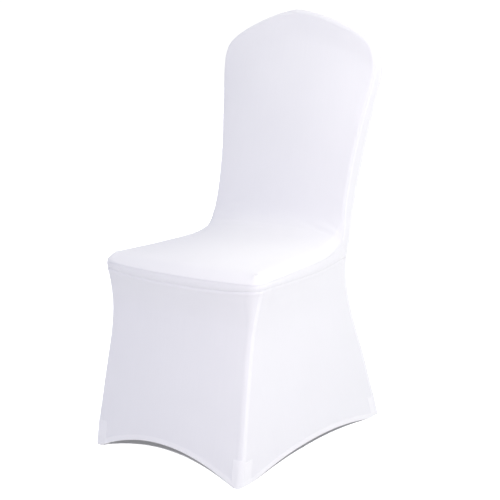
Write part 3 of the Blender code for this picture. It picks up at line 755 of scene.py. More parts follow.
def outer_back_grids(seams):
    """The rear panel from the hem to the crown, with its rolled edges, seen from behind."""
    side = np.vstack([seams.rear_low[::-1][:-1], seams.rear_end[:-1], seams.rear_back])
    crown = both_halves(seams.rear_crown)
    normal = side_normals(side, -1.0, REAR_REACH)
    path = np.vstack([side[:-1], crown, mirror(side[::-1])[1:]])
    normals = np.vstack([normal[:-1], np.tile(normal[-1], (len(crown), 1)), normal[::-1][1:]])
    outward = unit(np.cross(unit(np.gradient(path, axis=0)), -normals))
    rings = roll(path, outward, normals, REAR_ROLL, BACK_TURN)
    for ring in rings:
        ring[0, 2], ring[-1, 2] = 0.0, 0.0
    inner = rings[-1]
    rows, columns = len(side) - 1, len(crown) - 1
    right, top, left = inner[:rows + 1], inner[rows:rows + columns + 1], inner[rows + columns:][::-1]
    u_top = top[:, 0] / top[0, 0]
    share = lengths(side)
    crown_part = ramp(share, *REAR_TOP)
    hem_part = 1 - ramp(share, *REAR_HEM)
    crown_curve = top - between(top[-1], top[0], u_top)
    grid = np.zeros((rows + 1, columns + 1, 3))
    for i in range(rows + 1):
        row = between(left[i], right[i], u_top) + crown_curve * crown_part[i]
        row[:, 2] += arch(REAR_ARCH, row[:, 0], side[0, 0]) * hem_part[i]
        grid[i] = row + normal[i] * REAR_CROWN * sin(pi * share[i]) * (1 - u_top[:, None] ** 2)
    grid[-1], grid[:, 0], grid[:, -1] = top, right, left
    return rings, grid


# Cloth

# Where a pocket shows through: distance from the corner's seam on the left and on the right,
# and height
POCKET_PRINTS = {
    "front_skirt_cloth": (0.0335, 0.0225, 0.0555),
    "right_skirt_cloth": (0.0230, 0.0230, 0.0480),
    "left_skirt_cloth": (0.0230, 0.0230, 0.0480),
    "outer_back_cloth": (0.0300, 0.0300, 0.0555),
}


def soft_noise(points, size, seed, waves=14):
    """Smooth unevenness between about -1 and 1, with swells of about this size."""
    rng = np.random.default_rng(seed)
    directions = unit(rng.normal(size=(waves, 3)))
    pitch = size * rng.uniform(0.7, 1.6, waves)
    phase = rng.uniform(0, 2 * pi, waves)
    return np.sin(points @ (directions / pitch[:, None]).T * 2 * pi + phase).sum(1) / waves ** 0.5


def swell(distance, centre, width):
    """1 at the centre, fading over the width."""
    return np.exp(-((distance - centre) / width) ** 2)


def grid_knit(grid):
    """Lengths along the cloth, in metres, across and up from the middle of a grid's first row."""
    steps = np.linalg.norm(np.diff(grid, axis=1), axis=2)
    u = np.concatenate([np.zeros((len(grid), 1)), np.cumsum(steps, axis=1)], 1)
    u -= u[:, grid.shape[1] // 2:grid.shape[1] // 2 + 1]
    rises = np.linalg.norm(np.diff(grid, axis=0), axis=2).mean(1)
    v = np.concatenate([[0.0], np.cumsum(rises)])
    return np.stack([u, np.repeat(v[:, None], grid.shape[1], 1)], -1)


def ring_knit(border, rings, closed):
    """The same lengths carried on outwards over the rings, whose last one is the border."""
    before, after = (border[-1:], border[:1]) if closed else (border[:1], border[-1:])
    path = np.vstack([before, border, after])
    along = path[2:] - path[:-2]
    outward = unit(np.stack([along[:, 1], -along[:, 0]], 1))
    area = (border[:-1, 0] * border[1:, 1] - border[1:, 0] * border[:-1, 1]).sum()
    outward *= np.sign(area)
    stack = np.stack(rings)
    steps = np.linalg.norm(np.diff(stack, axis=0), axis=2)
    reach = np.concatenate([np.cumsum(steps[::-1], axis=0)[::-1], np.zeros((1, len(border)))])
    return border[None] + outward[None] * reach[:, :, None]


class Sheet:
    """One panel of cloth: points of its outer face, quads that face outwards, and its borders."""

    def __init__(self, name):
        self.name = name
        self.stacks = []

    def grid(self, points, knit=None, flip=False):
        """Adds a grid of points whose rows go up and whose columns go right, seen from outside."""
        self.stacks.append((points, grid_knit(points) if knit is None else knit, flip))
        return self

    def finish(self):
        """Merges the grids, and works out the normals and the border."""
        points, knits, quads, start = [], [], [], 0
        for grid, knit, flip in self.stacks:
            index = start + np.arange(grid.shape[0] * grid.shape[1]).reshape(grid.shape[:2])
            faces = [index[:-1, :-1], index[:-1, 1:], index[1:, 1:], index[1:, :-1]]
            faces = np.stack(faces, -1).reshape(-1, 4)
            quads.append(faces[:, [0, 3, 2, 1]] if flip else faces)
            points.append(grid.reshape(-1, 3))
            knits.append(knit.reshape(-1, 2))
            start += index.size
        points, knits, quads = np.vstack(points), np.vstack(knits), np.vstack(quads)
        keys = np.round(points * 1e6).astype(np.int64)
        first, same = np.unique(keys, axis=0, return_index=True, return_inverse=True)[1:]
        self.points, self.knit, self.quads = points[first], knits[first], same.reshape(-1)[quads]
        self.start, self.rest = self.points.copy(), self.points.copy()
        self.normals = self.vertex_normals()
        self.layers = np.zeros(len(self.points))
        self.find_border()
        return self

    def vertex_normals(self):
        """Area-weighted normals of the points."""
        corners = self.points[self.quads]
        area = np.cross(corners[:, 2] - corners[:, 0], corners[:, 3] - corners[:, 1])
        normals = np.zeros_like(self.points)
        for k in range(4):
            np.add.at(normals, self.quads[:, k], area)
        return unit(normals)

    def find_border(self):
        """Edges with a quad on one side only, and the directions that leave the cloth there."""
        count = len(self.points)
        edges = np.concatenate([self.quads[:, [k, (k + 1) % 4]] for k in range(4)])
        edges = edges[edges[:, 0] != edges[:, 1]]
        codes, reverse = edges[:, 0] * count + edges[:, 1], edges[:, 1] * count + edges[:, 0]
        self.border = edges[~np.isin(codes, reverse)]
        leave = np.zeros_like(self.points)
        tail, head = self.border.T
        away = unit(np.cross(self.points[head] - self.points[tail],
                             self.normals[tail] + self.normals[head]))
        np.add.at(leave, tail, away)
        np.add.at(leave, head, away)
        self.leave = unit(leave)
        self.on_border = np.unique(self.border)

    def averager(self):
        """A function that gives, for values at the points, the mean of each point's neighbours."""
        count = len(self.points)
        edges = np.concatenate([self.quads[:, [k, (k + 1) % 4]] for k in range(4)])
        edges = np.unique(np.sort(edges[edges[:, 0] != edges[:, 1]], axis=1), axis=0)
        ends, others = np.concatenate([edges, edges[:, ::-1]]).T
        near = np.bincount(ends, minlength=count)[:, None]
        return lambda values: np.stack(
            [np.bincount(ends, values[others, k], count) for k in range(3)], 1) / near

    def soft_normals(self, rounds=30):
        """Normals that change slowly from point to point."""
        mean, normals = self.averager(), self.vertex_normals()
        for done in range(rounds):
            normals = unit(normals + mean(normals))
        return normals

    def relax(self, freedom, rounds):
        """Draws the cloth even: moves each point along its normal to where its neighbours lie."""
        mean = self.averager()
        for done in range(rounds):
            if done % NORMALS_EVERY == 0:
                normals = self.vertex_normals()
            offset = ((mean(self.points) - self.points) * normals).sum(1)
            self.points = self.points + normals * (freedom * offset * RELAX_STEP)[:, None]
        self.rest = self.points.copy()
        self.normals = self.vertex_normals()
        self.find_border()

    def raise_by(self, height):
        """Moves the outer face out along its normals."""
        self.points = self.points + self.normals * height[:, None]

    def solid(self, thickness, rounded):
        """Closed mesh arrays: outer face, inner face, and a rim that is round where it is asked."""
        count, rim_steps = len(self.points), 3
        inner = self.points - self.normals * thickness[:, None]
        rims, places = [], np.full(count, -1)
        places[self.on_border] = np.arange(len(self.on_border))
        middle = (self.points + inner)[self.on_border] / 2
        half = (self.points - inner)[self.on_border] / 2
        reach = (thickness * rounded)[self.on_border, None] / 2 * self.leave[self.on_border]
        for k in range(1, rim_steps + 1):
            angle = pi * k / (rim_steps + 1)
            rims.append(middle + half * cos(angle) + reach * sin(angle))
        points = np.vstack([self.points, inner] + rims)
        points[:, 2] = np.maximum(points[:, 2], 0.0)
        tail, head = self.border.T
        faces = [self.quads, self.quads[:, ::-1] + count]
        starts = [2 * count + k * len(self.on_border) for k in range(rim_steps)]
        rows = [(tail, head)] + [(start + places[tail], start + places[head]) for start in starts]
        rows.append((tail + count, head + count))
        for (a, b), (c, d) in zip(rows, rows[1:]):
            faces.append(np.stack([b, a, c, d], 1))
        knit = np.vstack([self.knit, self.knit] + [self.knit[self.on_border]] * rim_steps)
        layers = np.concatenate([self.layers, self.layers] + [self.layers[self.on_border]] * rim_steps)
        return points, np.vstack(faces), knit, layers


def from_tables(points):
    """Points of the tables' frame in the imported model's."""
    return points - np.array([0.0, ORIGIN_Y, 0.0])


def add_object(name, data):
    """A new object of the scene, at the origin."""
    item = bpy.data.objects.new(name, data)
    bpy.context.scene.collection.objects.link(item)
    return item


def make_mesh(name, points, faces, knit, layers, materials):
    """A smooth-shaded piece, with its knit lengths as UV and its layers as an attribute."""
    mesh = bpy.data.meshes.new(name)
    plain = [list(dict.fromkeys(face)) for face in faces.tolist()]
    mesh.from_pydata(from_tables(points).tolist(), [], [face for face in plain if len(face) > 2])
    mesh.shade_smooth()
    uv = mesh.uv_layers.new(name="knit").uv
    corners = np.zeros(len(mesh.loops), int)
    mesh.loops.foreach_get("vertex_index", corners)
    uv.foreach_set("vector", knit[corners].astype(np.float32).ravel())
    mark = mesh.attributes.new("layers", "FLOAT", "POINT")
    mark.data.foreach_set("value", layers.astype(np.float32))
    for material in materials:
        mesh.materials.append(material)
    return add_object(name, mesh)


# Relief beside a seam: the ridge's rise against the ditch's width, its fall against its own width,
# where the puckers lie, and how their pitch wanders: size, rate
RIDGE_RISE = (-0.4, 2.4)
RIDGE_FALL = (0.35, 0.75)
PUCKER_BAND = (4 * MM, 3.5 * MM)
PUCKER_WANDER = ((1.7, 31.0), (0.9, 83.0))
# Relief of the hem: from its inner edge to where it steps down, and the spread of its parts
HEM_STEP = (0.4 * MM, 1.2 * MM)
STITCH_SPREAD = 0.7 * MM
FOLD_SPREAD = 0.9 * MM
FOLD_REACH = 0.4 * MM
HEM_EXTRA = 1.1          # how much thicker the hem is than the cloth, as a share of it
LAYER_FADE = 1.0 * MM    # how softly the hem's second layer ends
PRINT_FADE = 0.9 * MM
PRINT_START = 2.0 * MM
LIGHTER_END = (2.0, 2.5)  # millimetres: before the ridge's width, and how softly
LIP_WIDTH = 5 * MM
# Unevenness of the cloth: share, size of its swells and seed, and where it is calm beside a seam
UNEVEN = ((1.0, 0.16, 11), (0.35, 0.05, 12))
CALM_REACH = 0.03
CREASE_TAPER = 0.7
# How far the cloth moves in one round of drawing it even, and how often its normals are renewed
RELAX_STEP = 0.6
NORMALS_EVERY = 10


def seam_height(distance, place, ridge, width, seams):
    """Relief beside a seam: its ditch, the edges that lie under the cloth, and small puckers."""
    spread = seams.ditch_width
    ditch = -seams.ditch_depth * swell(distance, 0, spread)
    rise, fall = (share * spread for share in RIDGE_RISE), (share * width for share in RIDGE_FALL)
    lying = ridge * ramp(distance, *rise) * (1 - ramp(distance, *fall))
    wander = sum(size * np.sin(place * rate) for size, rate in PUCKER_WANDER)
    beat = np.sin(2 * pi * place / seams.pucker_pitch + wander)
    return ditch + lying + seams.pucker * beat * swell(distance, *PUCKER_BAND)


def stitch_heights(hem):
    """How far above the hem its two rows of stitches run."""
    return [hem.width - hem.row_inset, hem.width - hem.row_inset - hem.row_gap]


def hem_height(distance, hem):
    """Relief of the turned-up hem: its second layer, the two stitch rows and its rounded edge."""
    band = hem.rise * (1 - ramp(distance, hem.width - HEM_STEP[0], HEM_STEP[1]))
    rows = sum(swell(distance, height, STITCH_SPREAD) for height in stitch_heights(hem))
    return band - hem.stitch_depth * rows - hem.rise * swell(distance, 0, FOLD_SPREAD)


# What lies under each panel along its seams: the ridge's height and width in millimetres, and
# whether the panel looks lighter there
SIDE_RIDGES = {"corner": (0.30, 3.6, True), "rear": (0.4, 7.0, True)}
RIDGES = {
    "seat_and_back_cloth": {"upper": (0.10, 6.5, False)},
    "seat_band_cloth": {"upper": (0.05, 5.0, False), "lower": (0.0, 5.0, False),
                        "band_end": (0.0, 5.0, False)},
    "back_band_cloth": {"upper": (0.25, 6.5, True), "rear": (0.30, 6.5, True),
                        "band_end": (0.1, 6.5, False), "lower": (0.0, 5.0, False)},
    "front_skirt_cloth": {"corner": (0.30, 8.0, True)},
    "right_skirt_cloth": SIDE_RIDGES,
    "left_skirt_cloth": SIDE_RIDGES,
    "outer_back_cloth": {"rear": (0.25, 6.5, False)},
}
# The roll of cloth under each panel's edge at the seat's lower seam: height in millimetres, how
# far below the seam it is, and its spread
LIPS = {"front_skirt_cloth": 1.25, "right_skirt_cloth": 0.35, "left_skirt_cloth": 0.35}
LIP_REACH = 0.0050
LIP_SPREAD = 0.0036
# Each panel's hem, and the seams that its pockets lie beside
HEMS = {
    "front_skirt_cloth": ("front_hem", "corner"),
    "right_skirt_cloth": ("side_hem", "corner", "rear"),
    "left_skirt_cloth": ("side_hem", "corner", "rear"),
    "outer_back_cloth": ("rear_hem", "rear"),
}

# Creases: panel, height and width in millimetres, and path in the tables' frame
CREASES = [
    ("seat_and_back_cloth", -1.6, 5.0, (
        (-0.172, 0.121, 0.438), (-0.140, 0.111, 0.438), (-0.109, 0.109, 0.4425),
        (-0.079, 0.107, 0.446), (-0.036, 0.107, 0.4495), (0.010, 0.110, 0.452))),
    ("seat_and_back_cloth", 0.8, 6.0, (
        (-0.168, 0.1435, 0.451), (-0.136, 0.149, 0.467), (-0.097, 0.152, 0.483),
        (-0.048, 0.156, 0.5035))),
    ("seat_and_back_cloth", -0.5, 6.0, (
        (-0.172, 0.1565, 0.471), (-0.136, 0.157, 0.485), (-0.089, 0.158, 0.502))),
    ("seat_and_back_cloth", -0.5, 6.0, (
        (0.060, 0.075, 0.4395), (0.105, 0.0835, 0.4365), (0.145, 0.098, 0.435))),
    ("seat_and_back_cloth", -0.9, 5.0, (
        (0.085, 0.1395, 0.463), (0.113, 0.138, 0.457), (0.140, 0.1355, 0.450),
        (0.161, 0.136, 0.4455), (0.180, 0.1385, 0.438))),
    ("seat_and_back_cloth", 0.7, 4.0, (
        (0.120, 0.1435, 0.4625), (0.146, 0.1425, 0.4555), (0.168, 0.1415, 0.449),
        (0.181, 0.145, 0.442))),
    ("seat_and_back_cloth", -0.7, 4.0, (
        (0.140, 0.1505, 0.4685), (0.166, 0.1485, 0.4585), (0.181, 0.1495, 0.448))),
    ("front_skirt_cloth", -0.5, 0.9, (
        (0.1725, -0.2445, 0.0555), (0.1730, -0.2475, 0.034), (0.1735, -0.2500, 0.013))),
]

# Where the cloth spans the cove: ramp from the seam, height and spread, and rounds of drawing it even
COVE_FREE = (0.004, 0.030)
COVE_HOLLOW = (0.455, 0.050)
COVE_ROUNDS = 260

# How far the cloth flattens the seat's rounded edge, where that is, measured from the seam, and
# how it fades towards the rear and starts from the left
SHOULDER_CUT = 0.0034
SHOULDER_REACH = 0.017
SHOULDER_SPREAD = 0.009
SHOULDER_ROUNDS = 20
SEAT_REAR = (0.03, 0.09)
SEAT_LEFT = (-0.20, 0.08)

# Where the cloth is drawn even at the seat's front corners: middle, spread, ramp from the seam,
# and rounds
SEAT_CORNER = (0.172, -0.186, 0.412)
SEAT_CORNER_REACH = 0.034
SEAT_CORNER_FREE = (0.007, 0.010)
SEAT_CORNER_ROUNDS = 70
# Where the rear panel's cloth is drawn even: height and spread, ramp from the seam, and rounds
WAIST = (0.410, 0.055)
WAIST_FREE = (0.001, 0.012)
WAIST_ROUNDS = 150


def dress(sheet, lines, scene):
    """Adds the relief of the seams, hem, pockets and creases to a panel; marks its double layers."""
    cloth, seams, hem = scene.cover_cloth, scene.cover_seams, scene.cover_hem
    height = np.zeros(len(sheet.points))
    measured = {}
    nearest = np.full(len(sheet.points), 1.0)
    for name, (ridge, width, lighter) in RIDGES[sheet.name].items():
        distance, place = lines[name].measure(sheet.rest)
        measured[name] = distance
        nearest = np.minimum(nearest, distance)
        height += seam_height(distance, place, ridge * MM, width * MM, seams)
        if lighter:
            inset, fade = LIGHTER_END
            doubled = 1 - ramp(distance, (width - inset) * MM, fade * MM)
            sheet.layers = np.maximum(sheet.layers, doubled)
    if sheet.name in LIPS:
        distance, place = lines["lower"].measure(sheet.rest)
        nearest = np.minimum(nearest, distance)
        height += seam_height(distance, place, 0.0, LIP_WIDTH, seams)
        height += LIPS[sheet.name] * MM * swell(distance, LIP_REACH, LIP_SPREAD)
    thickness = np.full(len(sheet.points), cloth.thickness)
    rounded = np.zeros(len(sheet.points))
    if sheet.name in HEMS:
        hem_line, *corners = HEMS[sheet.name]
        distance = lines[hem_line].measure(sheet.rest)[0]
        turned_up = 1 - ramp(distance, hem.width - LAYER_FADE / 2, LAYER_FADE)
        pocket = np.zeros(len(sheet.points))
        left, right, top = POCKET_PRINTS[sheet.name]
        span = np.where(sheet.rest[:, 0] < 0, left, right)
        for corner in corners:
            near = 1 - ramp(measured[corner], span, PRINT_FADE)
            pocket = np.maximum(pocket, near * (1 - ramp(sheet.rest[:, 2], top, PRINT_FADE)))
        height += hem_height(distance, hem) + hem.pocket_rise * pocket * ramp(distance, 0, PRINT_START)
        sheet.layers = np.maximum.reduce([sheet.layers, turned_up, pocket])
        thickness = thickness * (1 + HEM_EXTRA * turned_up)
        rounded = (distance < FOLD_REACH).astype(float)
    for panel, crease_height, width, path in CREASES:
        if panel == sheet.name:
            dense = Line(smooth_curve(path))
            distance, place = dense.measure(sheet.start)
            taper = np.sin(pi * np.clip(place / dense.places[-1], 0, 1)) ** CREASE_TAPER
            height += crease_height * MM * swell(distance, 0, width * MM) * taper
    swells = sum(share * soft_noise(sheet.rest, size, seed) for share, size, seed in UNEVEN)
    height += cloth.unevenness * ramp(nearest, 0, CALM_REACH) * swells
    sheet.raise_by(height)
    at_seam = sheet.on_border[rounded[sheet.on_border] < 0.5]
    sheet.points[at_seam] -= sheet.leave[at_seam] * seams.gap / 2
    return sheet.solid(thickness, rounded)


def allowance_strip(name, grids, scene):
    """The seam's own edges, sewn together and turned in, inside the panel that has these grids."""
    strip = Sheet(name)
    for grid in grids:
        strip.grid(grid)
    strip.finish()
    strip.points -= strip.normals * (scene.cover_cloth.thickness + scene.cover_seams.allowance_clear)
    strip.layers[:] = 1
    thickness = np.full(len(strip.points), scene.cover_cloth.thickness)
    return strip.solid(thickness, np.zeros(len(strip.points)))


# Materials

class Nodes:
    """Adds nodes to a tree, with their inputs set or linked."""

    def __init__(self, tree):
        self.tree = tree

    def put(self, socket, value):
        """Links the value to the socket if it is an output, and otherwise sets it."""
        if isinstance(value, bpy.types.NodeSocket):
            self.tree.links.new(value, socket)
        else:
            socket.default_value = value

    def add(self, kind, inputs=None, **settings):
        """A node with its settings, and its inputs by name or number."""
        node = self.tree.nodes.new(kind)
        for key, value in settings.items():
            setattr(node, key, value)
        for key, value in (inputs or {}).items():
            self.put(node.inputs[key], value)
        return node

    def maths(self, operation, *values):
        """The output of a Math node."""
        return self.add("ShaderNodeMath", dict(enumerate(values)), operation=operation).outputs[0]

    def mix(self, factor, first, second, blend="MIX"):
        """The output of a Mix node between two colours."""
        inputs = {"Factor": factor, 6: first, 7: second}
        return self.add("ShaderNodeMix", inputs, data_type="RGBA", blend_type=blend).outputs[2]

    def varied(self, mask, low, span):
        """A value that goes up from low by the span where the mask does."""
        return self.maths("ADD", self.maths("MULTIPLY", mask, span), low)


def new_tree(name, kind, inputs, outputs):
    """A node tree with sockets, each given by its kind or by its number, and what builds it."""
    tree = bpy.data.node_groups.new(name, kind)
    for direction, sockets in (("INPUT", inputs), ("OUTPUT", outputs)):
        for label, what in sockets.items():
            is_number = not isinstance(what, str)
            socket_type = "NodeSocket" + ("Float" if is_number else what)
            socket = tree.interface.new_socket(name=label, in_out=direction, socket_type=socket_type)
            if is_number:
                socket.default_value = what
    nodes = Nodes(tree)
    return tree, nodes, nodes.add("NodeGroupInput").outputs, nodes.add("NodeGroupOutput").inputs


def tricot_group():
    """Fine warp-knit face: rows of small slanting loops, as a height."""
    tree, nodes, enter, leave = new_tree(
        "tricot face", "ShaderNodeTree",
        {"Lengths": "Vector", "Wale Pitch": 0.0008, "Course Pitch": 0.0006}, {"Height": "Float"})
    maths = nodes.maths
    split = nodes.add("ShaderNodeSeparateXYZ", {0: enter["Lengths"]}).outputs
    wales = maths("DIVIDE", split[0], enter["Wale Pitch"])
    courses = maths("DIVIDE", split[1], enter["Course Pitch"])
    place = maths("SUBTRACT", maths("FRACT", wales), 0.5)
    side = maths("MULTIPLY", maths("ABSOLUTE", place), 2.0)
    rib = maths("SUBTRACT", 1.0, maths("MULTIPLY", side, side))
    slant = maths("ADD", courses, maths("MULTIPLY", side, LOOP_SLANT))
    loop = maths("SINE", maths("MULTIPLY", slant, 2 * pi))
    nodes.put(leave["Height"], maths("MULTIPLY", rib, nodes.varied(loop, 1 - LOOP_SHARE, LOOP_SHARE)))
    return tree


def stretch_group():
    """Slight unevenness of stretched cloth: soft patches, and fine streaks along the wales."""
    tree, nodes, enter, leave = new_tree(
        "uneven stretch", "ShaderNodeTree",
        {"Lengths": "Vector", "Position": "Vector"}, {"Patches": "Float", "Streaks": "Float"})
    drawn = nodes.add("ShaderNodeMapping", {"Vector": enter["Lengths"], "Scale": STREAK_SCALE})
    for label, place, scale, detail in (("Patches", enter["Position"], PATCH_SCALE, 3.0),
                                        ("Streaks", drawn.outputs["Vector"], 1.0, 2.0)):
        noise = nodes.add("ShaderNodeTexNoise", {"Vector": place, "Scale": scale, "Detail": detail})
        nodes.put(leave[label], noise.outputs["Fac"])
    return tree


def rgba(colour):
    """A colour property as four numbers."""
    return (*colour, 1.0)


def shades(colour, factor):
    """The colour made this much lighter or darker."""
    return tuple(min(1.0, channel * factor) for channel in colour) + (1.0,)


def new_material(name):
    """A material, what builds its nodes, and its shader's inputs."""
    material = bpy.data.materials.new(name)
    material.use_nodes = True
    return material, Nodes(material.node_tree), material.node_tree.nodes["Principled BSDF"].inputs


def knit_material(name, cloth, single, double, coarse=1.0, deep=1.0):
    """White stretch knit: lighter where it is doubled, with its loops and uneven stretch."""
    material, nodes, shader = new_material(name)
    groups = bpy.data.node_groups
    knit = nodes.add("ShaderNodeUVMap", uv_map="knit").outputs["UV"]
    place = nodes.add("ShaderNodeTexCoord").outputs["Object"]
    layers = nodes.add("ShaderNodeAttribute", attribute_name="layers").outputs["Fac"]
    face = nodes.add("ShaderNodeGroup", {
        "Lengths": knit,
        "Wale Pitch": cloth.wale_pitch * coarse,
        "Course Pitch": cloth.course_pitch * coarse,
    }, node_tree=groups.get("tricot face") or tricot_group()).outputs
    uneven = nodes.add("ShaderNodeGroup", {"Lengths": knit, "Position": place},
                       node_tree=groups.get("uneven stretch") or stretch_group()).outputs
    patches, streaks = uneven["Patches"], uneven["Streaks"]
    one, two = (nodes.mix(patches, shades(colour, darkest), shades(colour, 1.01))
                for colour, darkest in ((single, 0.985), (double, 0.99)))
    streak = nodes.mix(streaks, shades(WHITE, 0.975), rgba(WHITE))
    loops = nodes.maths("MULTIPLY", face["Height"], cloth.knit_depth * deep)
    ribs = nodes.maths("MULTIPLY", streaks, cloth.knit_depth * deep * 1.5)
    bump = nodes.add("ShaderNodeBump", {"Strength": 1.0, "Distance": 1.0,
                                        "Height": nodes.maths("ADD", loops, ribs)})
    for label, value in {
        "Base Color": nodes.mix(1.0, nodes.mix(layers, one, two), streak, "MULTIPLY"),
        "Roughness": nodes.varied(patches, *CLOTH_ROUGHNESS),
        "Normal": bump.outputs["Normal"],
        "Specular IOR Level": CLOTH_SPECULAR,
        "Sheen Weight": cloth.sheen,
        "Sheen Roughness": SHEEN_ROUGHNESS,
    }.items():
        nodes.put(shader[label], value)
    return material


def cover_knit(scene):
    """The cover's own cloth."""
    cloth = scene.cover_cloth
    return bpy.data.materials.get("stretch knit") or knit_material(
        "stretch knit", cloth, cloth.colour, cloth.double_colour)


def pocket_knit(scene):
    """The denser doubled cloth of the foot pockets."""
    cloth = scene.cover_cloth
    return bpy.data.materials.get("pocket knit") or knit_material(
        "pocket knit", cloth, cloth.pocket_colour, cloth.pocket_colour, *POCKET_KNIT)


def thread_material(scene):
    """Polyester sewing thread with its ply as a fine twist."""
    made = bpy.data.materials.get("sewing thread")
    if made is not None:
        return made
    material, nodes, shader = new_material("sewing thread")
    place = nodes.add("ShaderNodeTexCoord").outputs["Object"]
    ply = nodes.add("ShaderNodeTexNoise", {"Vector": place, "Scale": PLY_SCALE}).outputs["Fac"]
    bump = nodes.add("ShaderNodeBump", {"Distance": PLY_DEPTH, "Height": ply})
    colour = scene.cover_seams.thread_colour
    for label, value in {
        "Base Color": nodes.mix(ply, shades(colour, 0.93), shades(colour, 1.02)),
        "Roughness": nodes.varied(ply, *THREAD_ROUGHNESS),
        "Normal": bump.outputs["Normal"],
        "Sheen Weight": THREAD_SHEEN,
    }.items():
        nodes.put(shader[label], value)
    return material


# Stitches

def stitch_tree(material):
    """Geometry Nodes: one stitch on every point, turned along the seam and out of the cloth."""
    tree, nodes, enter, leave = new_tree(
        "thread stitches", "GeometryNodeTree",
        {"Geometry": "Geometry", "Stitch Length": 0.0026, "Thread Thickness": 0.0003},
        {"Geometry": "Geometry"})
    half = nodes.maths("MULTIPLY", enter["Stitch Length"], 0.5)
    sunk, high, radius = (nodes.maths("MULTIPLY", enter["Thread Thickness"], share)
                          for share in (-STITCH_SINK, STITCH_RISE, 0.5))
    spots = {"Start": {"X": nodes.maths("MULTIPLY", half, -1.0), "Z": sunk}, "Middle": {"Z": high},
             "End": {"X": half, "Z": sunk}}
    bow = {label: nodes.add("ShaderNodeCombineXYZ", spot).outputs[0] for label, spot in spots.items()}
    path = nodes.add("GeometryNodeCurveQuadraticBezier", {"Resolution": STITCH_RESOLUTION, **bow})
    circle = nodes.add("GeometryNodeCurvePrimitiveCircle",
                       {"Resolution": THREAD_SIDES, "Radius": radius})
    tube = nodes.add("GeometryNodeCurveToMesh", {
        "Fill Caps": True, "Curve": path.outputs[0], "Profile Curve": circle.outputs[0]})
    turn = {}
    for axis, pivot, name in (("X", "AUTO", "along"), ("Z", "X", "out")):
        way = nodes.add("GeometryNodeInputNamedAttribute", {"Name": name}, data_type="FLOAT_VECTOR")
        align = nodes.add("FunctionNodeAlignRotationToVector",
                          {"Vector": way.outputs["Attribute"], **turn}, axis=axis, pivot_axis=pivot)
        turn = {"Rotation": align.outputs["Rotation"]}
    place = nodes.add("GeometryNodeInstanceOnPoints", {
        "Points": enter["Geometry"], "Instance": tube.outputs[0], **turn})
    real = nodes.add("GeometryNodeRealizeInstances", {0: place.outputs[0]})
    finish = nodes.add("GeometryNodeSetMaterial", {"Geometry": real.outputs[0], "Material": material})
    nodes.put(leave["Geometry"], finish.outputs[0])
    return tree


def set_inputs(modifier, values):
    """Sets a Geometry Nodes modifier's inputs by the sockets' identifiers."""
    for item in modifier.node_group.interface.items_tree:
        if item.item_type == "SOCKET" and item.in_out == "INPUT" and item.name in values:
            modifier[item.identifier] = values[item.name]


def sew(name, points, along, out, scene):
    """A piece of real stitches, one for each point."""
    seams, thread = scene.cover_seams, thread_material(scene)
    mesh = bpy.data.meshes.new(name + "_points")
    mesh.from_pydata(from_tables(points).tolist(), [], [])
    for label, vectors in (("along", along), ("out", out)):
        mesh.attributes.new(label, "FLOAT_VECTOR", "POINT").data.foreach_set(
            "vector", vectors.astype(np.float32).ravel())
    rail = add_object(name + "_points", mesh)
    modifier = rail.modifiers.new("stitches", "NODES")
    modifier.node_group = bpy.data.node_groups.get("thread stitches") or stitch_tree(thread)
    set_inputs(modifier, {"Stitch Length": seams.stitch_length,
                          "Thread Thickness": seams.thread_thickness})
    depsgraph = bpy.context.evaluated_depsgraph_get()
    done = bpy.data.meshes.new_from_object(rail.evaluated_get(depsgraph), depsgraph=depsgraph)
    rail.modifiers.remove(modifier)
    bpy.data.objects.remove(rail)
    if not done.materials:
        done.materials.append(thread)
    done.name = name
    done.shade_smooth()
    return add_object(name, done)


def row_above(grid, distance):
    """The path that runs this far above a grid's first row."""
    climbed = np.cumsum(np.linalg.norm(np.diff(grid, axis=0), axis=2), axis=0)
    reach = np.concatenate([np.zeros((1, grid.shape[1])), climbed])
    return np.array([[np.interp(distance, reach[:, j], grid[:, j, k]) for k in range(3)]
                     for j in range(grid.shape[1])])


def stitch_places(surface, paths, pitch, inset):
    """Points, directions and normals for stitches along paths laid on a panel's finished face."""
    points, along, out = [], [], []
    for path in paths:
        length = walked(path)[-1]
        count = int((length - 2 * inset) / pitch)
        shares = (inset + pitch * (np.arange(count) + 0.5)) / length
        near = pitch / 4 / length
        for place, before, after in zip(*(at_shares(path, shares + step) for step in (0, -near, near))):
            found, normal = surface.find_nearest(Vector(place))[:2]
            points.append(found)
            out.append(normal)
            along.append(unit(after - before))
    return np.array(points), np.array(along), np.array(out)


# Foot pockets

def pocket_ring(round_radius, reach, inset, slant):
    """Rounded rectangle about the centre of the cover's rounded corner, in local axes."""
    outermost = round_radius - POCKET_INSIDE - POCKET_CLEAR
    radius, far = outermost - inset, POCKET_ROUND - inset
    low_x, low_y = (outermost - length + POCKET_ROUND for length in reach)
    centres = [(0.0, 0.0, radius), (low_x, radius - far, far), (low_x, low_y, far),
               (radius - far, low_y, far)]
    points = []
    for quarter, (x, y, size) in enumerate(centres):
        for k in range(POCKET_STEPS + 1):
            angle = pi / 2 * (quarter + k / POCKET_STEPS)
            points.append((x + size * cos(angle), y + size * sin(angle)))
    ring = np.array(points)
    ring[:, 0] += slant * ring[:, 1]
    return ring


